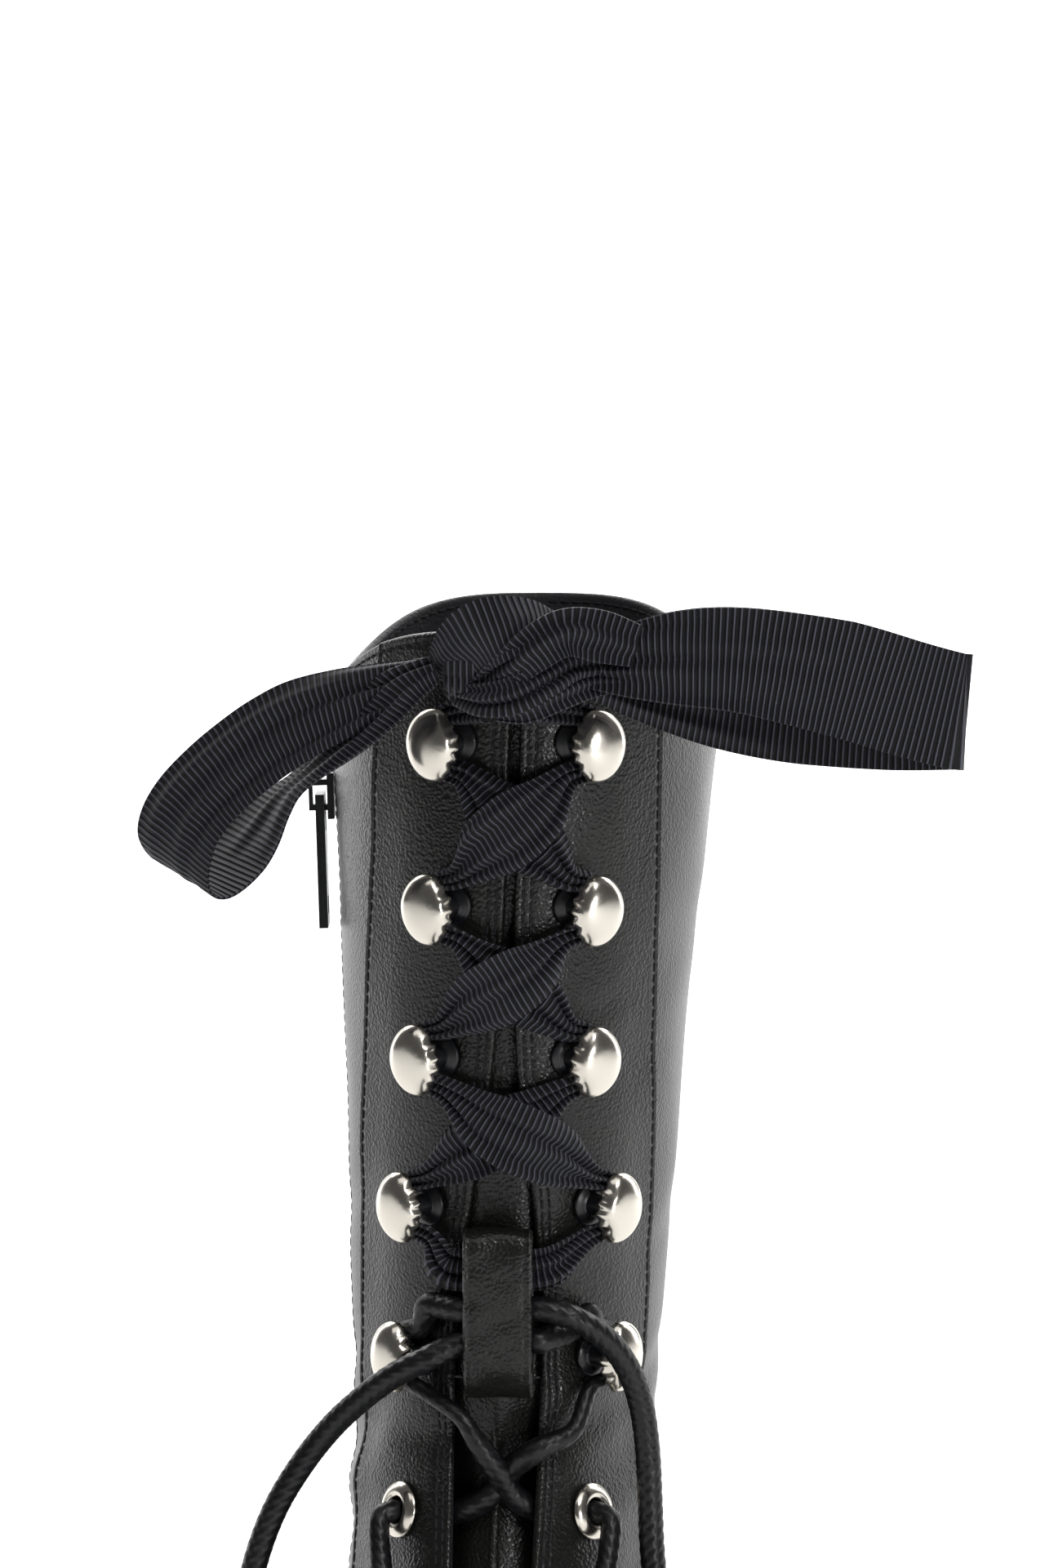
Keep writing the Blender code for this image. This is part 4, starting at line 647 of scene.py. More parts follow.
def above_row(row, offset, lift):
    """Point over the leather at a row, an offset from the front line and a lift, in mm."""
    side = 1 if offset >= 0 else -1
    share = abs(offset) * MM / length_at(row, side)
    return skin(row, share, side) + outward(row, share, side) * lift * MM


def above_front(x, z, lift):
    """Point over the front at x and z with a lift in mm, and the normal there."""
    row, side = row_at(320 - z) * 1.0, 1
    share = 0.1
    for _ in range(30):
        centre = float(through(COLUMNS[:, 4], row))
        side = 1 if x >= centre else -1
        p = skin(row, share, side) / MM
        q = skin(row + 0.05, share, side) / MM
        row = float(np.clip(row + (p[2] - z) / max((p[2] - q[2]) / 0.05, 5.0), 0, 14))
        length = length_at(row, side) / MM
        share = float(np.clip(share + 0.8 * side * (x - p[0]) / length, 0.0, 0.5))
    normal = outward(row, share, side)
    return skin(row, share, side) + normal * lift * MM, normal


def frame_at(point, normal, up=(0.0, 0.0, 1.0)):
    normal = Vector(normal)
    across = Vector(up).cross(normal).normalized()
    rise = normal.cross(across).normalized()
    return Matrix.Translation(Vector(point)) @ Matrix((across, rise, normal)).transposed().to_4x4()


def hook_seat(level, side):
    """Frame of a hook's rivet; its X points away from the throat on the right side."""
    height, left, right = HOOK_ROWS[level]
    wanted = right if side > 0 else left
    x = wanted - side * 1.9
    for _ in range(5):
        point, normal = above_front(x, height, 0.3)
        place = frame_at(point, normal)
        x += wanted - (place @ Vector((side * 1.9 * MM, 0.0, 6.4 * MM))).x / MM
    return place


def eyelet_seat(level, side):
    row, offset = EYELET_ROWS[level]
    share = offset * MM / length_at(row, side)
    return frame_at(skin(row, share, side), outward(row, share, side))


HOOKS = {(k, s): hook_seat(k, s) for k in range(5) for s in (-1, 1)}
EYELETS = {(k, s): eyelet_seat(k, s) for k in range(4) for s in (-1, 1)}
print("surface worked out; hooks at", [round(v / MM, 1) for v in HOOKS[(4, 1)].translation])

# %% [markdown]
# ## Seams, edges and creases
# Everything that stands up from the smooth skin or sinks into it is one relief in millimetres: the
# front panel's lapped edge, the vamp's edge, rounded folded edges, the small valleys that stitches
# pull into leather, and the creases. Real creases are soft troughs with a ridge beside them, so
# each one here has a place, a slant, a length, a width and a depth of its own.

# %% Relief of the leather
# Side, distance round from the front line, distance down, slant in degrees, half-length, width, depth
CREASES = [
    (-1, 14.0, 113.0, 12, 12.0, 3.4, -0.55), (-1, 15.0, 119.0, 10, 11.0, 3.0, 0.35),
    (-1, 18.0, 146.0, 20, 13.0, 3.2, -0.60), (-1, 19.0, 152.0, 18, 12.0, 3.0, 0.40),
    (-1, 16.0, 160.0, 8, 12.0, 3.4, -0.70), (-1, 36.0, 156.0, 16, 18.0, 4.0, -0.80),
    (-1, 46.0, 163.0, 12, 22.0, 4.6, -1.00), (-1, 48.0, 171.0, 10, 22.0, 4.2, 0.60),
    (-1, 58.0, 150.0, 22, 18.0, 4.0, -0.60), (-1, 60.0, 180.0, 4, 20.0, 4.6, -0.70),
    (1, 15.0, 76.0, -14, 12.0, 3.2, -0.40), (1, 17.0, 116.0, -16, 12.0, 3.2, -0.55),
    (1, 19.0, 122.0, -14, 11.0, 3.0, 0.35), (1, 16.0, 143.0, -18, 13.0, 3.4, -0.65),
    (1, 18.0, 150.0, -16, 12.0, 3.0, 0.40), (1, 15.0, 160.0, -10, 12.0, 3.4, -0.70),
    (1, 38.0, 153.0, -16, 18.0, 4.0, -0.80), (1, 47.0, 161.0, -12, 24.0, 4.8, -1.05),
    (1, 50.0, 169.0, -10, 22.0, 4.2, 0.65), (1, 60.0, 146.0, -24, 18.0, 4.0, -0.60),
    (1, 62.0, 178.0, -4, 22.0, 4.6, -0.75), (1, 52.0, 122.0, -20, 20.0, 5.0, -0.45),
    (-1, 52.0, 118.0, 20, 20.0, 5.0, -0.45), (1, 60.0, 60.0, -8, 26.0, 7.0, -0.40),
    (-1, 30.0, 40.0, 10, 18.0, 6.0, -0.25), (1, 40.0, 84.0, -12, 22.0, 6.0, -0.35),
    (-1, 34.0, 186.0, 4, 16.0, 3.6, -0.55), (1, 34.0, 188.0, -6, 16.0, 3.6, -0.55),
    (-1, 14.0, 264.0, 4, 17.0, 2.6, -0.60), (1, 14.0, 264.0, -4, 17.0, 2.6, -0.60),
    (-1, 14.0, 268.5, 4, 16.0, 2.4, 0.35), (1, 14.0, 268.5, -4, 16.0, 2.4, 0.35),
    (-1, 16.0, 273.0, 8, 16.0, 2.6, -0.50), (1, 16.0, 273.0, -8, 16.0, 2.6, -0.50),
    (-1, 36.0, 262.0, 24, 12.0, 3.0, -0.45), (1, 36.0, 262.0, -24, 12.0, 3.0, -0.45),
]
STITCH_LINES = {"throat": (1.7, 3.3), "seam": (-1.3,), "zip": (1.8,), "top": (2.0,), "vamp": (1.3, 2.7)}


def rounded(distance, radius):
    """How far a rounded edge falls away within a radius of it."""
    inside = np.clip(1 - np.maximum(distance, 0) / radius, 0, 1)
    return radius * (1 - np.sqrt(1 - inside ** 2))


def valley(distance, width):
    return np.exp(-(distance / width) ** 2)


def relief(row, share, side):
    """Millimetres that the outer face stands out from the smooth skin."""
    row, share = np.broadcast_arrays(np.asarray(row, float), np.asarray(share, float))
    length = length_at(row, side) / MM
    around, below = share * length, down(row)
    throat = around - opening(1, row)
    seam = around - opening(2, row) * length
    zips = around - opening(3, row) * length
    vamp = below - down(VAMP_ROW)
    open_throat, shaft = row < THROAT_END, vamp < 0
    out = np.where(shaft & (seam <= 0), 0.8 * np.clip(1 + seam / 9, 0, 1) ** 2, 0)
    out -= np.where(shaft & (seam <= 0), rounded(-seam, 0.5), 0)
    out += np.where(~shaft, 0.8 * np.clip(1 - vamp / 24, 0, 1) - rounded(vamp, 0.5), 0)
    out -= np.where(open_throat, rounded(throat, 1.0), 0)
    out -= np.where(row < 1.5, rounded(below, 1.0), 0)
    for line in STITCH_LINES["throat"]:
        out -= np.where(open_throat, 0.22 * valley(throat - line, 0.45), 0)
    for line in STITCH_LINES["seam"]:
        out -= np.where(shaft, 0.22 * valley(seam - line, 0.45), 0)
    for line in STITCH_LINES["vamp"]:
        out -= 0.22 * valley(vamp - line, 0.45)
    for line in STITCH_LINES["top"]:
        out -= 0.2 * valley(below - line, 0.5)
    if side < 0:
        out -= np.where(row < ZIP_END, rounded(np.abs(zips) - 3.0, 0.9), 0)
        for line in STITCH_LINES["zip"]:
            out -= np.where(row < ZIP_END, 0.2 * valley(np.abs(zips) - 3.0 - line, 0.45), 0)
    for crease_side, a, b, slant, half, width, depth in CREASES:
        if crease_side != side:
            continue
        cos, sin = math.cos(math.radians(slant)), math.sin(math.radians(slant))
        along = (around - a) * cos + (below - b) * sin
        across = (below - b) * cos - (around - a) * sin
        bow = across + 0.012 * along ** 2 * (1 if depth < 0 else -1) * 0.3
        out += depth * np.exp(-(bow / width) ** 2) * np.clip(1 - (along / (half * 1.5)) ** 2, 0, 1) ** 2
    soft = 0.16 * np.sin(around * 0.19 + below * 0.031) * np.sin(below * 0.12 + side)
    fade = np.clip(throat / 6, 0, 1) if side else 1
    return out + np.where(open_throat, soft * fade, soft * np.clip(around / 6, 0, 1))


def on_leather(row, share, side, lift=0.0):
    """Point on the finished leather, and its normal."""
    normal = outward(row, share, side)
    point = skin(row, share, side) + normal * (relief(row, share, side) + lift)[..., None] * MM
    return point, normal


def stepped(low, high, step):
    return np.linspace(low, high, max(int(abs(high - low) / step), 1) + 1)[1:]


def grid_columns(row, side):
    """Distances round from the front line where the fine grid has its columns, in mm."""
    length = float(length_at(row, side)) / MM
    throat = float(opening(1, row))
    seam = float(opening(2, row)) * length
    zip_middle = float(opening(3, row)) * length
    slot = min(6.0, 0.08 * length) / 2
    near = np.array([0.0, 0.08, 0.22, 0.45, 0.75, 1.1, 1.45, 1.7, 1.95, 2.5, 3.05, 3.3, 3.55, 4.4])
    lap = np.array([-4.4, -2.95, -2.6, -2.25, -1.6, -1.3, -1.0, -0.6, -0.35, -0.18, -0.06, 0.0])
    edge = np.array([0.0, 0.1, 0.25, 0.5, 0.85, 1.4, 1.8, 2.2, 3.2])
    scale = min(1.0, (seam - throat) / 14)
    columns = np.concatenate([
        np.linspace(0, throat, 7)[:-1],
        throat + near * scale,
        np.linspace(throat + 4.4 * scale, seam - 4.4 * scale, 27)[1:-1],
        seam + lap * scale,
        seam + np.array([0.06, 0.4, 1.2]) * scale,
        np.linspace(seam + 1.2 * scale, zip_middle - slot - 3.2 * scale, 21)[1:-1],
        zip_middle - slot - edge[::-1] * scale,
        np.linspace(zip_middle - slot, zip_middle + slot, 5)[1:-1],
        zip_middle + slot + edge * scale,
        np.linspace(zip_middle + slot + 3.2 * scale, length, 41)[1:],
    ])
    return columns / length


THROAT_FROM = 6
ZIP_FROM = 6 + 14 + 25 + 12 + 3 + 19 + 8


def grid_rows():
    top = np.array([0.0, 0.08, 0.22, 0.45, 0.75, 1.1, 1.6, 2.0, 2.4, 3.2])
    seam = float(down(VAMP_ROW))
    end = float(down(THROAT_END))
    foot = float(down(ZIP_END))
    stops = np.concatenate([
        top,
        stepped(3.2, foot - 1.0, 1.15), [foot - 0.3, foot],
        stepped(foot, end, 1.25),
        stepped(end, seam - 0.6, 1.2), [seam - 0.02, seam, seam + 0.12, seam + 0.3, seam + 0.6],
        seam + np.array([0.95, 1.3, 1.65, 2.35, 2.7, 3.05, 3.8]),
        stepped(seam + 3.8, DOWN[-1], 1.7),
    ])
    return np.maximum.accumulate(row_at(stops))


def leather_grid(inner):
    """Points, faces and mask of the whole upper: its outer face or its lining."""
    rows = grid_rows()
    parts = []
    for side in (-1, 1):
        shares = np.stack([grid_columns(row, side) for row in rows])
        row_grid = np.repeat(rows[:, None], shares.shape[1], axis=1)
        normal = outward(row_grid, shares, side)
        base = skin(row_grid, shares, side)
        if inner:
            length = length_at(row_grid, side) / MM
            around = shares * length
            depth = 2.0 - np.where(row_grid < THROAT_END, rounded(around - opening(1, row_grid), 1.0), 0)
            depth -= np.where(row_grid < 1.5, rounded(down(row_grid), 1.0), 0)
            zips = np.abs(around - opening(3, row_grid) * length) - 3.0
            depth -= np.where((row_grid < ZIP_END) & (side < 0), rounded(zips, 0.9), 0)
            points = base - normal * (np.maximum(depth, 1.0) * MM)[..., None]
        else:
            points = base + normal * (relief(row_grid, shares, side) * MM)[..., None]
        on_sole = row_grid >= CORNER_ROW
        floor = seat(points[..., 1])
        points[..., 2] = np.where(on_sole, np.maximum(points[..., 2], floor), points[..., 2])
        middle_row = (row_grid[:-1, :-1] + row_grid[1:, 1:]) / 2
        column = np.arange(shares.shape[1] - 1)[None, :]
        keep = ~((column < THROAT_FROM) & (middle_row < THROAT_END))
        if side < 0:
            keep &= ~((column >= ZIP_FROM) & (column < ZIP_FROM + 4) & (middle_row < ZIP_END))
        centres = (points[:-1, :-1] + points[1:, 1:]) / 2
        for level in range(4):
            hole = np.array(EYELETS[(level, side)].translation)
            keep &= np.linalg.norm(centres - hole, axis=-1) > 3.3 * MM
        faces = np.array(grid_faces(*shares.shape))[keep.ravel()]
        flip = (side > 0) == inner
        faces = faces[:, ::-1] if flip else faces
        uv = np.stack([shares * length_at(row_grid, side) / MM, down(row_grid)], axis=-1)
        parts.append((points.reshape(-1, 3), faces.tolist(), uv.reshape(-1, 2)))
    return joined(parts)


def welded(made, distance=0.00002):
    """Merge the points where the two sides meet."""
    work = bmesh.new()
    work.from_mesh(made.data)
    bmesh.ops.remove_doubles(work, verts=work.verts, dist=distance)
    loose = [v for v in work.verts if not v.link_faces]
    bmesh.ops.delete(work, geom=loose, context="VERTS")
    work.to_mesh(made.data)
    work.free()
    return made


points, faces, uv = leather_grid(inner=False)
upper = welded(piece("upper_leather", points, faces, BLACK_LEATHER, replaces=["upper"], uv=uv,
                     closed=False))
points, faces, uv = leather_grid(inner=True)
lining = welded(piece("upper_lining", points, faces, LINING_LEATHER_WITH_PAINTED_LIGHT, uv=uv,
                      closed=False))
print("upper:", len(upper.data.polygons), "faces; lining:", len(lining.data.polygons))

# %% [markdown]
# ## Stitching
# Leather is sewn with waxed thread, about ten stitches to the inch. Each stitch is a short rounded
# bar that lies in the little valley of the relief, so the thread sits half in the leather.

# %% Stitches
STITCH_PITCH, STITCH_LENGTH, STITCH_RADIUS = 2.4, 1.95 * MM, 0.29 * MM


def stitches_along(rows, arounds, side, inside=False):
    """Stitches along a line on the leather given by rows and distances round from the front."""
    shares = arounds * MM / length_at(rows, side)
    points, normals = on_leather(rows, shares, side, 0.06)
    if inside:
        normals = -outward(rows, shares, side)
        points = skin(rows, shares, side) + normals * (WALL + 0.06 * MM)
    run = np.concatenate([[0], np.cumsum(np.linalg.norm(np.diff(points, axis=0), axis=1))]) / MM
    wanted = np.arange(STITCH_PITCH, run[-1] - STITCH_PITCH / 2, STITCH_PITCH)
    centre = np.stack([np.interp(wanted, run, points[:, k]) for k in range(3)], axis=1)
    ahead = np.stack([np.interp(wanted + 0.8, run, points[:, k]) for k in range(3)], axis=1)
    normal = unit(np.stack([np.interp(wanted, run, normals[:, k]) for k in range(3)], axis=1))
    return centre, ahead - centre, normal


def stitch_lines():
    lines = []
    for side in (-1, 1):
        rows = row_at(np.linspace(3.0, float(down(THROAT_END)) - 1.0, 500))
        throat = opening(1, rows)
        for offset in STITCH_LINES["throat"]:
            lines.append(stitches_along(rows, throat + offset, side))
        rows = row_at(np.linspace(3.0, float(down(VAMP_ROW)) - 1.5, 500))
        seam = opening(2, rows) * length_at(rows, side) / MM
        for offset in STITCH_LINES["seam"]:
            lines.append(stitches_along(rows, seam + offset, side))
        for offset in STITCH_LINES["top"]:
            around = np.linspace(3.0, LENGTH[side][0] / MM - 1.0, 200)
            for inside in (False, True):
                lines.append(stitches_along(row_at(np.full(200, offset)), around, side, inside))
        for offset in STITCH_LINES["vamp"]:
            row = row_at(np.full(200, float(down(VAMP_ROW)) + offset))
            around = np.linspace(0.4, length_at(row[0], side) / MM - 4.0, 200)
            lines.append(stitches_along(row, around, side))
    rows = row_at(np.linspace(3.0, float(down(ZIP_END)) + 2.0, 400))
    middle = opening(3, rows) * length_at(rows, -1) / MM
    for offset in STITCH_LINES["zip"]:
        for way in (-1, 1):
            lines.append(stitches_along(rows, middle + way * (3.0 + offset), -1))
    return [np.concatenate(part) for part in zip(*lines)]


centres, ways, normals = stitch_lines()
points, faces = beads(centres, ways, normals, STITCH_LENGTH, STITCH_RADIUS)
piece("upper_stitching", points, faces, THREAD)
print("stitches:", len(centres))


# %% [markdown]
# ## Tongue and keeper
# The tongue is a thin leather behind the lacing. It is pulled in below, where the cord lies between
# it and the facing. The keeper is a loop of the same leather, sewn on it, which holds the laces down.

# %% Tongue and keeper


def slab(outer, inner):
    """A closed sheet from two grids of points: a face, a back and a rim all round."""
    rows, columns = outer.shape[:2]
    count = rows * columns
    faces = grid_faces(rows, columns)
    faces += [[k + count for k in reversed(f)] for f in grid_faces(rows, columns)]
    index = np.arange(count).reshape(rows, columns)
    rim = np.concatenate([index[0, :], index[1:, -1], index[-1, -2::-1], index[-2:0:-1, 0]])
    for a, b in zip(rim, np.roll(rim, -1)):
        faces.append([int(b), int(a), int(a) + count, int(b) + count])
    return np.concatenate([outer.reshape(-1, 3), inner.reshape(-1, 3)]), faces


TONGUE_DEPTHS = [(0.0, 2.72), (4.1, 2.72), (5.0, 7.9), (10.4, 7.9), (11.6, 2.72)]


def tongue_grid():
    rows = row_at(np.linspace(float(down(0.3)), float(down(12.6)), 240))
    across = np.concatenate([-np.linspace(1, 0, 23)[:-1], np.linspace(0, 1, 23)])
    faces_out, faces_in = [], []
    for a in across:
        side = 1 if a >= 0 else -1
        spread = 0.72 + 0.28 * np.minimum((rows - 0.3) / 2, 1.0)
        share = 17.0 * MM * spread * abs(a) / length_at(rows, side)
        normal, base = outward(rows, share, side), skin(rows, share, side)
        run = down(rows)
        ripple = (0.22 * np.sin(a * 9 + run * 0.045) + 0.16 * np.sin(run * 0.16 + a * 4)) * (1 - abs(a) ** 4)
        depth = eased(TONGUE_DEPTHS, rows) + 0.3 - np.minimum(ripple, 0.28)
        faces_out.append(base - normal * (depth * MM)[:, None])
        faces_in.append(base - normal * ((eased(TONGUE_DEPTHS, rows) + 1.6) * MM)[:, None])
    return np.stack(faces_out, axis=1), np.stack(faces_in, axis=1)


outer, inner = tongue_grid()
points, faces = slab(outer, inner)
piece("tongue_leather", points, faces, BLACK_LEATHER, replaces=["tongue"])


def keeper():
    """The keeper: its loop swept with a rounded strip 1.3 mm thick."""
    line = np.array([above_front(0.5, z, lift)[0] for z, lift in KEEPER_LOOP])
    closed = np.concatenate([line[-2:], line, line[:3]])
    loop = through(closed, np.linspace(2, 2 + len(line), 12 * len(line), endpoint=False))
    loop[:, 0] = 0.5 * MM
    way = unit(np.roll(loop, -1, axis=0) - np.roll(loop, 1, axis=0))
    normal = np.cross(np.array([1.0, 0.0, 0.0]), way)
    across = np.linspace(-1, 1, 25)
    corner = np.maximum(np.abs(across) - 0.93, 0) / 0.07
    half = 0.65 * np.sqrt(np.maximum(1 - corner ** 2, 0.06))
    top = np.stack([across * 6.7, half], axis=1)
    ring = np.concatenate([top, top[::-1] * [1, -1]])
    run = np.concatenate([[0], np.cumsum(np.linalg.norm(np.diff(loop, axis=0), axis=1))]) / MM
    bulge = (0.18 * np.sin(run * 0.42)[:, None] * np.cos(ring[:, 0] * 0.38)
             + 0.14 * np.sin(run * 0.9 + 1)[:, None] * np.sin(ring[:, 0] * 0.5 + 1))
    groove = -0.22 * np.exp(-((np.abs(ring[:, 0]) - 5.4) / 0.4) ** 2)
    height = ring[:, 1] + np.where(ring[:, 1] > 0, 1, -1) * (np.clip(bulge, -0.3, 0.1) + groove)
    points = (loop[:, None] + np.array([1.0, 0, 0]) * (ring[:, 0] * MM)[None, :, None]
              - normal[:, None] * (height * MM)[..., None] * -1)
    count = len(ring)
    faces = grid_faces(len(loop), count, wrap=True)
    last = (len(loop) - 1) * count
    faces += [[last + k, last + (k + 1) % count, (k + 1) % count, k] for k in range(count)]
    return points.reshape(-1, 3), faces, loop


points, faces, keeper_line = keeper()
piece("keeper_leather", points, faces, BLACK_LEATHER, replaces=["tongue_loop"])
front = [above_front(x, 174.2, 5.05) for x in np.arange(-5.2, 6.4, 2.2)]
points, faces = beads([p for p, n in front], [(1, 0, 0)] * len(front), [n for p, n in front],
                      1.8 * MM, STITCH_RADIUS)
piece("keeper_stitches", points, faces, THREAD)
print("keeper loop points:", len(keeper_line))

# %% [markdown]
# ## Boot hooks and eyelets
# A boot hook is pressed from nickelled brass: a round flange riveted to the leather, a short neck,
# and an oval dome whose rim is rolled under. The side next to the throat is cut back in small teeth,
# where the sheet was gathered. An eyelet is a barrel whose top is rolled over into a ring.

# %% Hooks and eyelets
HOOK_SIDES = 56
# Rings below this count, the flange, neck and dome's underside, are coloured dark metal as painted shade:
# they are nickel but lie in the ribbon's shade.
PAINTED_SHADE_RINGS = 12
# Radius, height and shift away from the throat: flange, neck, under side, rolled rim and dome
HOOK_PROFILE = [
    (0.0, 0.0, 0.0), (4.2, 0.0, 0.0), (4.4, 0.15, 0.0), (4.4, 0.45, 0.0), (4.2, 0.7, 0.0),
    (3.0, 0.9, 0.0), (2.4, 1.25, 0.0), (2.25, 2.2, 0.0), (2.2, 4.0, 0.1), (2.2, 4.9, 0.4),
    (2.6, 5.6, 0.9), (4.2, 5.9, 1.6), (5.2, 5.7, 1.9), (5.35, 5.3, 1.9), (5.6, 5.12, 1.9),
    (5.85, 5.25, 1.9), (5.9, 5.6, 1.9), (5.82, 6.0, 1.9), (5.6, 6.5, 1.9), (5.2, 7.05, 1.9),
    (4.5, 7.6, 1.9), (3.6, 8.02, 1.9), (2.5, 8.32, 1.9), (1.2, 8.46, 1.9), (0.0, 8.5, 1.9),
]


def hook(side, level):
    """Points and faces of one polished hook."""
    profile = np.array(HOOK_PROFILE)
    radius, height, shift = profile.T
    angle = np.linspace(0, 2 * np.pi, HOOK_SIDES, endpoint=False)
    on_dome = np.clip((shift - 0.9) / 0.9, 0, 1)[:, None]
    rim = on_dome * np.clip((radius - 3.0) / 2.6, 0, 1)[:, None]
    inward = np.clip((-np.cos(angle) - 0.25) / 0.5, 0, 1)
    teeth = 0.5 + 0.5 * np.sin(angle * 15 + level * 1.7)
    cut = 1 - rim * inward * (0.13 + 0.10 * teeth)
    uneven = 1 + 0.012 * np.sin(angle * 3 + level) * on_dome
    x = radius[:, None] * np.cos(angle) * cut * uneven + shift[:, None]
    y = radius[:, None] * np.sin(angle) * cut * (1 + 0.2 * on_dome)
    z = height[:, None] + 0 * angle - rim * inward * 0.35 * (1 - teeth)
    grid = np.stack([side * x, y, z], axis=-1).reshape(-1, 3) * MM
    faces = grid_faces(len(profile), HOOK_SIDES, wrap=True)
    if side < 0:
        faces = [f[::-1] for f in faces]
    return placed(grid, HOOKS[(level, side)]), faces


for side, word in ((-1, "left"), (1, "right")):
    for level in range(5):
        points, faces = hook(side, level)
        made = piece(f"hook_{word}_{level + 1}_nickel", points, faces, NICKEL,
                     replaces=[f"hook_{word}_{level + 1}"])
        # Painted shade: the hook's nickel flange, neck and underside take the dark metal.
        made.data.materials.append(BLACK_METAL_AND_PAINTED_SHADE)
        index = np.repeat(np.arange(len(HOOK_PROFILE) - 1) < PAINTED_SHADE_RINGS, HOOK_SIDES).astype(np.int32)
        made.data.polygons.foreach_set("material_index", index)
        welded(made, 0.000005)

EYELET_PROFILE = [
    (2.5, -2.3), (2.46, -1.0), (2.46, 0.5), (2.6, 1.05), (2.95, 1.4), (3.5, 1.56), (4.1, 1.5),
    (4.8, 1.18), (5.3, 0.78), (5.58, 0.42), (5.6, 0.22), (5.4, 0.1), (3.3, 0.05), (3.22, -0.4),
    (3.22, -2.1), (3.3, -2.3), (2.9, -2.45), (2.5, -2.3),
]
for side, word in ((-1, "left"), (1, "right")):
    for level in range(4):
        lifted = EYELETS[(level, side)] @ Matrix.Translation((0.0, 0.0, 0.3 * MM))
        points, faces = turned(EYELET_PROFILE, 48, lifted)
        made = piece(f"eyelet_{word}_{level + 1}_nickel", points, faces, NICKEL,
                     replaces=[f"eyelet_{word}_{level + 1}"])
        welded(made, 0.000005)
print("hooks and eyelets:", 5 * 2 + 4 * 2)

# %% [markdown]
# ## Ribbon
# The ribbon is 22 mm wide and under half a millimetre thick. Round a hook it is gathered into
# pleats, and between hooks it spreads again. Its section is a wave whose length stays the ribbon's
# width, so it is shallow where it is spread and deep where it is gathered, as with real ribbon.

# %% Ribbon tools
RIBBON_WIDTH, RIBBON_SHEET = 22.0, 0.45
RIBBON_ACROSS = 41


def pleat_height(width, pleats, limit):
    """Height of a wave whose length is the ribbon's width, in mm, up to a limit."""
    extra = max(RIBBON_WIDTH / width - 1, 0.0)
    return min(width / pleats * math.sqrt(extra) / 4.4, limit)


def ribbon_grid(middle, wide, widths, limits, pleats=3.0, phase=0.0, square=True):
    """Face and back grids of a pleated ribbon and its UV, from a middle line and width directions."""
    middle, wide = np.asarray(middle), np.asarray(wide)
    way = unit(np.gradient(middle, axis=0))
    if square:
        wide = wide - way * np.sum(wide * way, axis=1, keepdims=True)
    wide = unit(wide)
    face = unit(np.cross(way, wide))
    run = np.concatenate([[0], np.cumsum(np.linalg.norm(np.diff(middle, axis=0), axis=1))]) / MM
    v = np.linspace(-0.5, 0.5, RIBBON_ACROSS)
    height = np.array([pleat_height(w, pleats, limit) for w, limit in zip(widths, limits)])
    drift = phase + 0.35 * np.sin(run * 0.11 + phase)
    wave = np.sin(2 * np.pi * pleats * v[None] + drift[:, None]) * height[:, None]
    wave += 0.35 * height[:, None] * np.sin(2 * np.pi * (pleats * 1.7) * v[None] + run[:, None] * 0.08)
    squeeze = v[None] * np.asarray(widths)[:, None]
    base = middle[:, None] + wide[:, None] * (squeeze * MM)[..., None]
    slope = np.gradient(wave, axis=1) / np.maximum(np.gradient(squeeze, axis=1), 1e-6)
    lean = unit(np.stack([-slope, np.ones_like(slope)], axis=-1))
    normal = wide[:, None] * lean[..., :1] + face[:, None] * lean[..., 1:]
    centre = base + face[:, None] * (wave * MM)[..., None]
    half = RIBBON_SHEET / 2 * MM
    uv = np.stack([np.repeat(run[:, None], RIBBON_ACROSS, 1), np.repeat(v[None] * RIBBON_WIDTH, len(run), 0)],
                  axis=-1)
    return centre + normal * half, centre - normal * half, np.concatenate([uv.reshape(-1, 2)] * 2)


def hook_turn(level, side, upward, lift):
    """Points round a hook's neck, and the normal there."""
    turn = [(-3.0, -6.4), (2.0, -4.7), (4.7, 0.0), (2.0, 4.7), (-3.0, 6.4)]
    steps = turn if upward else turn[::-1]
    place = HOOKS[(level, side)]
    points = [np.array(place @ Vector((side * a * MM, b * MM, lift * MM))) for a, b in steps]
    return points, np.array(place.col[2].to_3d())


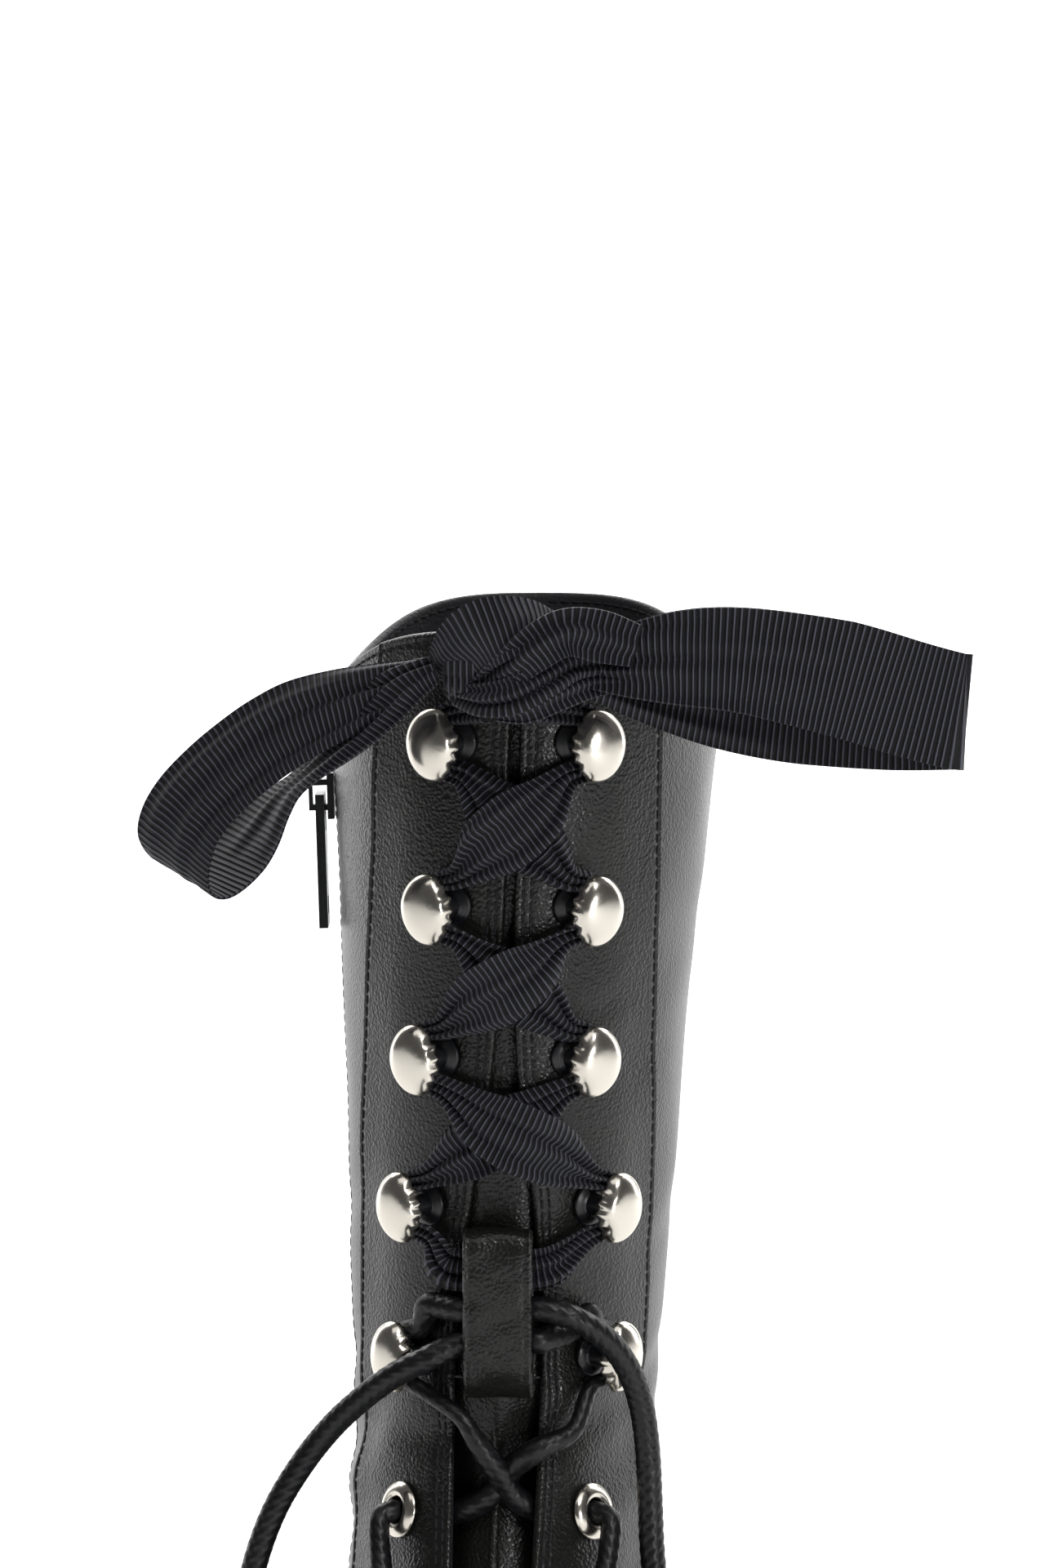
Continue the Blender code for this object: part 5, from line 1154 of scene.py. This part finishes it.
def lacing_stops():
    """The ribbon's stops: middle, facing, width and depth, from the knot down and up again."""
    forward = np.array([0.0, -1.0, 0.0])
    stops = [(np.array([8.5, -61.6, 305.2]) * MM, forward, 4.4, 0.9)]
    sides = (1, -1, 1, -1)

    def turn(level, side, upward):
        points, normal = hook_turn(level, side, upward, 2.7)
        return [(p, normal, w, 0.85) for p, w in zip(points, (5.2, 3.7, 3.4, 3.7, 5.2))]

    def cross(end, lift, wide):
        start = stops[-1][0]
        for t, part in ((0.28, 0.55), (0.5, 1.0), (0.72, 0.55)):
            at = (start + (end - start) * t) / MM
            point, normal = above_front(at[0], at[2], 3.0 + (lift - 3.0) * part)
            stops.append((point, normal, 9.8 + (wide - 9.8) * part, 0.62))

    for level, side in enumerate(sides):
        after = turn(level, side, False)
        if level:
            cross(after[0][0], 4.7 if level == 1 else 1.5, 14.0 if level == 1 else 12.5)
        stops += after
    for x, z, width in ((-9.5, 195.6, 8.0), (0.5, 195.2, 8.4), (10.5, 195.8, 8.0)):
        stops.append((np.array([x, -48.4, z]) * MM, forward, width, 1.2))
    for level in (3, 2, 1, 0):
        after = turn(level, -sides[level], True)
        if level < 3:
            cross(after[0][0], 1.5 if level == 0 else 4.7, 13.5)
        stops += after
    stops.append((np.array([-1.5, -61.6, 305.2]) * MM, forward, 4.4, 0.9))
    return stops


stops = lacing_stops()
at = np.linspace(0, len(stops) - 1, (len(stops) - 1) * 12 + 1)
middle = through([s[0] for s in stops], at)
facing = through([s[1] for s in stops], at)
widths = through([s[2] for s in stops], at)
limits = through([s[3] for s in stops], at)
wide = np.cross(facing, np.gradient(middle, axis=0))
outer, inner, uv = ribbon_grid(middle, wide, widths, limits, pleats=2.6, phase=0.4)
points, faces = slab(outer, inner)
piece("lacing_ribbon", points, faces, RIBBON, replaces=["ribbon_lacing"], uv=uv)
print("lacing ribbon faces:", len(faces))

# %% [markdown]
# The bow is tied from the same ribbon. Each loop leaves the knot gathered into pleats, opens to the
# full width, turns at its end and comes back. The knot is a gathered core with the middle of the
# ribbon wound round it: one broad wrap at the left and narrower folds at the right.

# %% Knot and loops
KNOT_Y, KNOT_Z = -68.0, 314.2
KNOT_ROWS = [(-8.8, 4.3, 5.2), (-6.0, 5.8, 7.2), (-1.0, 6.8, 8.3), (5.0, 7.2, 8.7), (11.5, 6.9, 8.1),
             (16.0, 5.8, 6.3), (18.4, 4.3, 4.9)]


def knot_core():
    """The gathered core: pleats run along it from one loop to the other."""
    rows = through(KNOT_ROWS, np.linspace(0, len(KNOT_ROWS) - 1, 90))
    angle = np.linspace(0, 2 * np.pi, 120, endpoint=False)
    x = rows[:, 0][:, None] + 0 * angle
    twist = x * 0.05
    pleat = 1 + 0.07 * np.sin(9 * angle + twist * 3) + 0.035 * np.sin(17 * angle - twist * 5 + 1)
    y = KNOT_Y + rows[:, 1][:, None] * np.cos(angle) * pleat
    z = KNOT_Z + rows[:, 2][:, None] * np.sin(angle) * pleat
    points = np.stack([x, y, z], axis=-1) * MM
    faces = grid_faces(len(rows), len(angle), wrap=True)
    faces += [list(range(len(angle)))[::-1], [(len(rows) - 1) * len(angle) + k for k in range(len(angle))]]
    uv = np.stack([x, angle[None] * 7 + 0 * x], axis=-1)
    return points.reshape(-1, 3), faces, uv.reshape(-1, 2)


# Folds of the ribbon over the core: middle, width direction, width and pleat height
KNOT_PAD = [
    (-10.0, -67.0, 312.0, -0.70, 0.00, 0.70, 6.0, 0.5), (-6.6, -73.4, 316.6, -0.62, 0.00, 0.78, 11.0, 0.4),
    (-2.4, -76.6, 320.2, -0.52, 0.10, 0.86, 13.0, 0.3), (2.8, -76.6, 322.4, -0.34, 0.28, 0.90, 12.5, 0.3),
    (7.8, -73.8, 323.2, -0.10, 0.45, 0.88, 9.5, 0.5), (12.4, -68.6, 321.8, 0.10, 0.55, 0.80, 6.0, 0.6),
]
KNOT_SWEEP = [
    (-3.0, -72.0, 309.6, -0.75, 0.00, 0.65, 4.0, 0.6), (3.0, -76.8, 313.6, -0.62, 0.05, 0.78, 7.0, 0.8),
    (8.6, -78.6, 318.2, -0.50, 0.10, 0.86, 8.5, 0.9), (14.6, -78.0, 321.4, -0.25, 0.20, 0.95, 9.0, 1.0),
    (21.0, -76.2, 320.6, 0.05, 0.25, 0.97, 10.0, 0.9), (28.0, -74.6, 318.6, 0.10, 0.12, 0.98, 8.0, 0.6),
]
KNOT_UNDER = [
    (-7.0, -70.0, 309.0, -0.30, 0.00, 0.95, 4.0, 0.5), (-1.5, -75.4, 308.4, -0.10, 0.00, 1.00, 6.0, 0.8),
    (4.5, -77.4, 309.4, -0.20, 0.00, 0.98, 7.0, 0.9), (10.5, -76.8, 312.4, -0.35, 0.05, 0.93, 7.0, 0.9),
    (16.0, -74.4, 315.4, -0.20, 0.10, 0.97, 6.5, 0.7), (22.0, -72.4, 315.8, 0.00, 0.00, 1.00, 5.0, 0.5),
]
KNOT_LOW = [
    (1.0, -74.0, 305.8, -0.10, 0.00, 1.00, 3.0, 0.4), (7.0, -76.2, 306.6, -0.25, 0.00, 0.97, 5.0, 0.7),
    (13.0, -75.4, 309.4, -0.30, 0.00, 0.95, 6.0, 0.8), (19.0, -72.6, 311.6, -0.10, 0.00, 1.00, 6.0, 0.6),
    (25.0, -72.0, 311.8, 0.00, 0.00, 1.00, 4.0, 0.4),
]


def knot_fold(table, pleats, phase):
    """One fold of the knot, swept through its table."""
    rows = through(table, np.linspace(0, len(table) - 1, (len(table) - 1) * 16 + 1))
    outer, inner, uv = ribbon_grid(rows[:, :3] * MM, rows[:, 3:6], rows[:, 6], rows[:, 7], pleats, phase)
    points, faces = slab(outer, inner)
    return points, faces, uv


parts = [knot_core(), knot_fold(KNOT_PAD, 1.0, 0.8), knot_fold(KNOT_SWEEP, 1.6, 2.2),
         knot_fold(KNOT_UNDER, 2.1, 0.3), knot_fold(KNOT_LOW, 1.6, 1.4)]
points, faces, uv = joined(parts)
piece("bow_knot", points, faces, RIBBON, replaces=["ribbon_knot"], uv=uv)


def bow_loop(name, node, middle, wide, widths, phase, ruffle, square):
    """One loop of the bow, built as the strip of ribbon that it is cut from."""
    run = np.concatenate([[0], np.cumsum(np.linalg.norm(np.diff(middle, axis=0), axis=1))]) / MM
    widths = np.clip(widths, 6.0, RIBBON_WIDTH)
    limits = 0.3 + 1.5 * np.clip(1 - widths / RIBBON_WIDTH, 0, 1)
    outer, inner, uv = ribbon_grid(middle, wide, widths, limits, 2.8, phase, square)
    v = uv[:len(uv) // 2, 1].reshape(outer.shape[:2]) / RIBBON_WIDTH
    sway = ruffle * np.sin(run * 0.12 + phase)[:, None] * v * np.clip(run / 20, 0, 1)[:, None]
    normal = unit(outer - inner) * (sway * MM)[..., None]
    points, faces = slab(outer + normal, inner + normal)
    made = piece(name, points, faces, RIBBON, replaces=[node], uv=uv)
    print(name, "is a strip", round(run[-1]), "mm long")
    return made


edges = through(BOW_LEFT_EDGES, np.linspace(0, len(BOW_LEFT_EDGES) - 1, len(BOW_LEFT_EDGES) * 10)) * MM
across = edges[:, 3:] - edges[:, :3]
bow_loop("bow_loop_left", "ribbon_loop_left", (edges[:, 3:] + edges[:, :3]) / 2, across,
         np.linalg.norm(across, axis=1) / MM, 0.3, 0.5, False)
rows = through(BOW_RIGHT, np.linspace(0, len(BOW_RIGHT) - 1, (len(BOW_RIGHT) - 1) * 14 + 1))
bow_loop("bow_loop_right", "ribbon_loop_right", rows[:, :3] * MM,
         np.tile([-0.14, -0.10, -1.0], (len(rows), 1)), rows[:, 3] * RIBBON_WIDTH, 1.9, 1.1, True)

# %% [markdown]
# ## Round cord
# The cord is waxed cotton, braided round a core. Its surface is worked out strand by strand: two
# families of helices cross, and a checker rule says which family lies on top at each crossing. It is
# one length through all eight eyelets, round both lowest hooks and into the keeper.

# %% Braid and lace
CORD_RADIUS, BRAID_STRANDS, BRAID_PITCH = 2.5, 6, 2.5


def braid(points, sizes, sides=30, step=0.42):
    """A braided tube along points, with its own share of the full radius at each."""
    line, run = even(points, step * MM)
    size = np.interp(run / run[-1], np.linspace(0, 1, len(sizes)), sizes)
    way = unit(np.gradient(line, axis=0))
    aside = np.zeros_like(line)
    aside[0] = unit(np.cross(way[0], [0.3, 0.2, 1.0]))
    for k in range(1, len(line)):
        aside[k] = unit(aside[k - 1] - way[k] * np.dot(aside[k - 1], way[k]))
    over = np.cross(way, aside)
    angle = np.linspace(0, 2 * np.pi, sides, endpoint=False)
    u = (run / MM / BRAID_PITCH)[:, None] / 2
    v = BRAID_STRANDS * angle[None] / (2 * np.pi)
    a, b = v + u * 2, v - u * 2
    family = (np.floor(a) + np.floor(b)) % 2
    ridge = np.where(family == 0, np.abs(np.sin(np.pi * (a % 1))), np.abs(np.sin(np.pi * (b % 1))))
    radius = (CORD_RADIUS * size)[:, None] * (0.87 + 0.135 * np.sqrt(ridge)) * MM
    grid = (line[:, None] + aside[:, None] * (radius * np.cos(angle))[..., None]
            + over[:, None] * (radius * np.sin(angle))[..., None])
    faces = grid_faces(len(line), sides, wrap=True)
    faces += [list(range(sides))[::-1], [(len(line) - 1) * sides + k for k in range(sides)]]
    return grid.reshape(-1, 3), faces, line


def local(frame_matrix, x, y, z):
    return np.array(frame_matrix @ Vector((x * MM, y * MM, z * MM)))


def strand(side, start_rows, finish_rows, end):
    """From behind the facing, out of the throat, round the lowest hook and into the keeper."""
    points = [above_front(x, z, lift)[0] for x, z, lift in start_rows]
    sizes = [1.0] * (len(points) - 1) + [0.85]
    turn = hook_turn(4, side, True, 2.5)[0]
    points += turn
    sizes += [0.66] * len(turn)
    points += [above_front(x, z, lift)[0] for x, z, lift in finish_rows]
    sizes += [0.85] + [1.0] * (len(finish_rows) - 1)
    for x in (end[0] + side * 1.6, end[0]):
        points.append(np.array([x, -48.4, end[1]]) * MM)
        sizes.append(1.0)
    return points, sizes


def bar(side, upper_level):
    """Out through one eyelet, down the outside of the facing and in through the next one."""
    a, b = EYELETS[(upper_level, side)], EYELETS[(upper_level + 1, side)]
    rows = (EYELET_ROWS[upper_level], EYELET_ROWS[upper_level + 1])
    middle = above_row((rows[0][0] + rows[1][0]) / 2, side * (rows[0][1] + rows[1][1]) / 2, 4.6)
    points = [local(a, 0, 0, -4.2), local(a, 0, -0.2, -0.6), local(a, 0, -0.5, 2.2),
              local(a, 0, -2.8, 4.7), middle, local(b, 0, 2.8, 4.7), local(b, 0, 0.5, 2.2),
              local(b, 0, 0.2, -0.6), local(b, 0, 0, -4.2)]
    return points, [0.9, 0.84, 0.84, 0.96, 1.0, 0.96, 0.84, 0.84, 0.9]


STRAND_LEFT = [(12.5, 146.6, -5.2), (7.6, 148.9, -5.0), (3.4, 151.8, -4.2), (0.0, 155.6, -1.4),
               (-3.2, 160.6, 1.4), (-6.2, 165.8, 2.6)]
STRAND_RIGHT = [(-12.5, 146.6, -5.2), (-7.0, 148.6, -5.3), (-1.8, 151.0, -5.2), (1.8, 153.6, -4.4),
                (4.4, 156.4, -1.4), (7.4, 159.4, 2.4), (12.6, 162.6, 3.9)]
CROSSING = [(6.90, 7.6), (7.25, 3.6), (7.5, 0.0), (7.75, -3.6), (8.12, -7.4)]


def lace_route():
    """The whole lace, from inside the keeper round and back into it."""
    left, left_sizes = strand(-1, STRAND_LEFT, [(-11.6, 187.4, 3.2), (-9.2, 187.6, 3.2)], (-5.5, 187.2))
    right, right_sizes = strand(1, STRAND_RIGHT, [(16.0, 185.6, 3.0), (11.8, 182.6, 3.2)], (7.3, 181.3))
    points, sizes = left[::-1], left_sizes[::-1]

    def add(part, share):
        points.extend(part)
        sizes.extend(share)

    add(*bar(1, 0))
    over = [-5.1, -3.6, -2.4, -3.6, -5.1]
    under = [-5.2, -5.5, -5.7, -5.5, -5.2]
    add([above_row(row, offset, lift) for (row, offset), lift in zip(CROSSING, over)], [1, 1, 0.9, 1, 1])
    add(*bar(-1, 2))
    add([above_row(10.10, offset, -5.1) for offset in (-6.0, 0.0, 6.0)], [1.0] * 3)
    lower, lower_sizes = bar(1, 2)
    add(lower[::-1], lower_sizes[::-1])
    back = [above_row(row, -offset, lift) for (row, offset), lift in zip(CROSSING[::-1], under)]
    add(back, [1, 0.95, 0.8, 0.95, 1])
    upper_bar, upper_sizes = bar(-1, 0)
    add(upper_bar[::-1], upper_sizes[::-1])
    add(right, right_sizes)
    return points, sizes


points, sizes = lace_route()
grid, faces, line = braid(points, sizes)
piece("round_lace", grid, faces, CORD, replaces=[
    "cord_bar_left_1", "cord_bar_left_2", "cord_bar_right_1", "cord_bar_right_2", "cord_bar_foot",
    "cord_crossing_low", "cord_crossing_top",
])
print("lace faces:", len(faces))

# %% [markdown]
# The two free ends come out of the keeper, bend over the lowest hooks and hang beside the shaft.
# Each keeps its real length, with a dark metal tip pressed round it.

# %% Free ends of the cord


def free_end(word, route):
    places = np.array(route) * MM
    grid, faces, line = braid(places, [1.0] * len(places))
    made = piece(f"lace_end_{word}", grid, faces, CORD, replaces=[f"cord_end_{word}"])
    way = Vector(places[-1] - places[-2]).normalized()
    place = frame_at(places[-1], way, up=(0.0, 1.0, 0.0))
    profile = [(0.0, 0.3), (2.0, 0.3), (2.2, 0.6), (2.2, 3.0), (2.08, 3.4), (2.2, 3.8), (2.12, 9.0),
               (2.02, 16.0), (1.8, 17.2), (1.3, 18.0), (0.0, 18.1)]
    points, tip_faces = turned(profile, 36, place)
    tip = piece(f"lace_tip_{word}", points, tip_faces, BLACK_METAL_AND_PAINTED_SHADE, replaces=[f"aglet_{word}"])
    welded(tip, 0.000005)


free_end("left", CORD_END_LEFT)
free_end("right", CORD_END_RIGHT)

# %% [markdown]
# ## Zip
# A coil zip: woven tape behind the slot, and a spiral of teeth whose turns show as fine cross bars.
# The slider and its pull are die-cast, so their edges are a little rounded.

# %% Zip, slider and pull


def zip_point(rows, offset, depth):
    """Points beside the zip's middle line, below the leather."""
    length = length_at(rows, -1)
    share = opening(3, rows) + offset * MM / length
    normal = outward(rows, share, -1)
    return skin(rows, share, -1) - normal * depth * MM, normal


rows = row_at(np.linspace(0.1, float(down(7.3)) - 0.2, 260))
tape_out = np.stack([zip_point(rows, x, 2.5)[0] for x in np.linspace(-6.2, 6.2, 9)], axis=1)
tape_in = np.stack([zip_point(rows, x, 3.3)[0] for x in np.linspace(-6.2, 6.2, 9)], axis=1)
points, faces = slab(tape_out, tape_in)
tape = piece("zip_tape_cloth", points, [f[::-1] for f in faces], TAPE, replaces=["zip"])
turns = np.arange(0.8, float(down(ZIP_END)) - 1.0, 0.78)
tooth_rows = row_at(turns)
offsets = np.where(np.arange(len(turns)) % 2, 0.85, -0.85)
centres, normals, sides_on = [], [], []
for row, offset in zip(tooth_rows, offsets):
    point, normal = zip_point(np.array(row), offset, 1.25)
    beyond, _ = zip_point(np.array(row + 0.006), offset + 1.0, 1.25)
    centres.append(point)
    normals.append(normal)
    sides_on.append(beyond - point)
points, faces = beads(centres, sides_on, normals, 2.9 * MM, 0.5 * MM, sides=8)
piece("zip_coil", points, faces, BLACK_METAL_AND_PAINTED_SHADE)


def eased_copy(node, name, body, width):
    """A CAD piece with its edges rounded."""
    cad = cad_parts[node]
    made = bpy.data.objects.new(name, cad.data.copy())
    made.matrix_world = cad.matrix_world
    bpy.context.scene.collection.objects.link(made)
    edge = made.modifiers.new("edge", "BEVEL")
    edge.width, edge.segments, edge.limit_method = width * MM, 3, "ANGLE"
    made.data.materials.clear()
    made.data.materials.append(BLACK_METAL_AND_PAINTED_SHADE)
    made.data.shade_smooth()
    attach(made, body)
    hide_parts(node)
    return made


eased_copy("zip_slider", "zip_slider_cast", BOOT, 0.3)
eased_copy("zip_pull", "zip_pull_cast", "zip_pull", 0.35)
print("coil turns:", len(turns))

# %% [markdown]
# ## Sole and heel
# The outsole is cut leather with a rounded edge. The heel block is covered with the upper's
# leather, curved in at the waist, and its top piece is hard rubber.

# %% Sole and heel


def outsole():
    stations = -89 * MM + (121 - 0.15) * MM * np.cos(np.linspace(0, np.pi, 161))
    low = sole_bottom(stations)
    inner, outer = plan_x(stations, -1), plan_x(stations, 1)
    step = np.minimum(0.8 * MM, (outer - inner) / 6)
    profile = [(1.0, 0.0), (0.45, 0.14), (0.12, 0.5), (0.0, 1.1), (0.0, 2.9), (0.14, 3.3), (0.5, 3.5)]
    right = [np.stack([outer - step * a, stations, low + h * MM], axis=1) for a, h in profile]
    left = [np.stack([inner + step * a, stations, low + h * MM], axis=1) for a, h in profile[::-1]]
    grid = np.stack(right + left, axis=1)
    count = grid.shape[1]
    faces = [f[::-1] for f in grid_faces(len(stations), count, wrap=True)]
    faces += [list(range(count)), [(len(stations) - 1) * count + k for k in range(count)][::-1]]
    return grid.reshape(-1, 3), faces


points, faces = outsole()
piece("outsole_leather", points, [f[::-1] for f in faces], SOLE_LEATHER, replaces=["outsole"])


def heel_outline(back, breast, half, inset):
    """D-shaped plan of the heel, with its breast hollowed, drawn in by an inset."""
    middle = breast + (back - breast) * 0.42
    angle = np.linspace(0, np.pi, 97)
    x = (half - inset) * np.cos(angle)
    y = middle + (back - inset - middle) * np.sin(angle) ** 0.8
    along = np.linspace(-0.94, 0.94, 33)
    hollow = 3.0 * np.clip((0.94 - np.abs(along)) / 0.59, 0, 1)
    hollow = 3.0 * np.sin(hollow / 3.0 * np.pi / 2)
    return np.concatenate([
        np.stack([x, y], axis=1), np.stack([along * (half - inset), breast + inset + hollow], axis=1),
    ])


def stacked(levels):
    """A closed form through outlines, each with its heights."""
    grid = np.stack([np.concatenate([xy, z[:, None]], axis=1) for xy, z in levels]) * MM
    count = grid.shape[1]
    faces = grid_faces(len(levels), count, wrap=True)
    faces += [list(range(count))[::-1], [(len(levels) - 1) * count + k for k in range(count)]]
    return grid.reshape(-1, 3), faces


heel_levels = []
for share in np.concatenate([[0.0], np.linspace(0.004, 1.0, 48)]):
    rows = np.array(HEEL_ROWS, float)
    back, breast, half = [eased(list(zip(rows[:, 0], rows[:, k])), share) for k in (1, 2, 3)]
    outline = heel_outline(back, breast, half, 0.35 if share in (0.0, 1.0) else 0.0)
    top = sole_bottom(outline[:, 1] * MM) / MM - 0.3
    heel_levels.append((outline, top + (5.3 - top) * share))
points, faces = stacked(heel_levels)
piece("heel_covered", points, [f[::-1] for f in faces], HEEL_LEATHER, replaces=["heel"])
foot = HEEL_ROWS[-1]
lift_levels = []
for height, inset in ((0.0, 0.6), (0.2, 0.2), (0.6, 0.0), (4.6, 0.0), (4.9, 0.2), (5.0, 0.5)):
    outline = heel_outline(foot[1], foot[2], foot[3], inset)
    lift_levels.append((outline, np.full(len(outline), height)))
points, faces = stacked(lift_levels)
piece("heel_lift", points, faces, RUBBER, replaces=["heel_top_piece"])
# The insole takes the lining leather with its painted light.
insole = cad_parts["insole"]
insole.data.materials.clear()
insole.data.materials.append(LINING_LEATHER_WITH_PAINTED_LIGHT)
print("sole and heel made")

# %% [markdown]
# ## Studio
# The product stands on a pale floor in front of a pale wall. Large soft lights at both sides draw
# the grey rims along the shaft, and a smaller one from the upper right gives the speckled shine.

# %% Floor and light
FLOOR_WHITE = new_look("studio_floor", "fbfbfb", 0.85)[0]


def sheet_of_paper(name, corners):
    """A flat white stage piece from its corners."""
    mesh = bpy.data.meshes.new(name)
    mesh.from_pydata(corners, [], [tuple(range(len(corners)))])
    mesh.materials.append(FLOOR_WHITE)
    made = bpy.data.objects.new(name, mesh)
    bpy.context.scene.collection.objects.link(made)
    return made


sheet_of_paper("studio_floor", [(-7, -1.0, 0), (7, -1.0, 0), (7, 9, 0), (-7, 9, 0)])
sheet_of_paper("studio_wall", [(-7, 9, 0), (7, 9, 0), (7, 9, 5), (-7, 9, 5)])
world = bpy.data.worlds.new("white_studio")
world.use_nodes = True
world.node_tree.nodes["Background"].inputs["Color"].default_value = (1.0, 1.0, 1.0, 1.0)
world.node_tree.nodes["Background"].inputs["Strength"].default_value = 0.07
bpy.context.scene.world = world
bpy.context.scene.view_settings.view_transform = "Standard"


def softbox(name, place, target, width, height, power):
    data = bpy.data.lights.new(name, "AREA")
    data.shape, data.size, data.size_y, data.energy = "RECTANGLE", width, height, power
    light = bpy.data.objects.new(name, data)
    light.location = place
    light.rotation_euler = (Vector(target) - Vector(place)).to_track_quat("-Z", "Y").to_euler()
    bpy.context.scene.collection.objects.link(light)
    return light


softbox("left_light", (-1.0, 0.75, 0.6), (0, 0, 0.25), 0.5, 1.2, 3)
softbox("right_light", (1.05, 0.6, 0.7), (0, 0, 0.25), 0.5, 1.2, 5)
softbox("key_light", (0.55, -1.1, 1.2), (0, -0.05, 0.25), 0.3, 0.3, 5)
softbox("top_light", (0.0, -0.7, 1.35), (0, -0.05, 0.25), 1.8, 0.7, 3.6)
softbox("grain_light", (0.62, -1.0, 0.2), (0.03, -0.05, 0.23), 0.1, 0.2, 2.4)
softbox("floor_light", (0.0, 4.2, 3.4), (0, 4.4, 0.0), 7.0, 5.0, 480)
softbox("wall_light", (0.0, 5.0, 2.2), (0, 9.0, 1.0), 7.0, 1.5, 300)
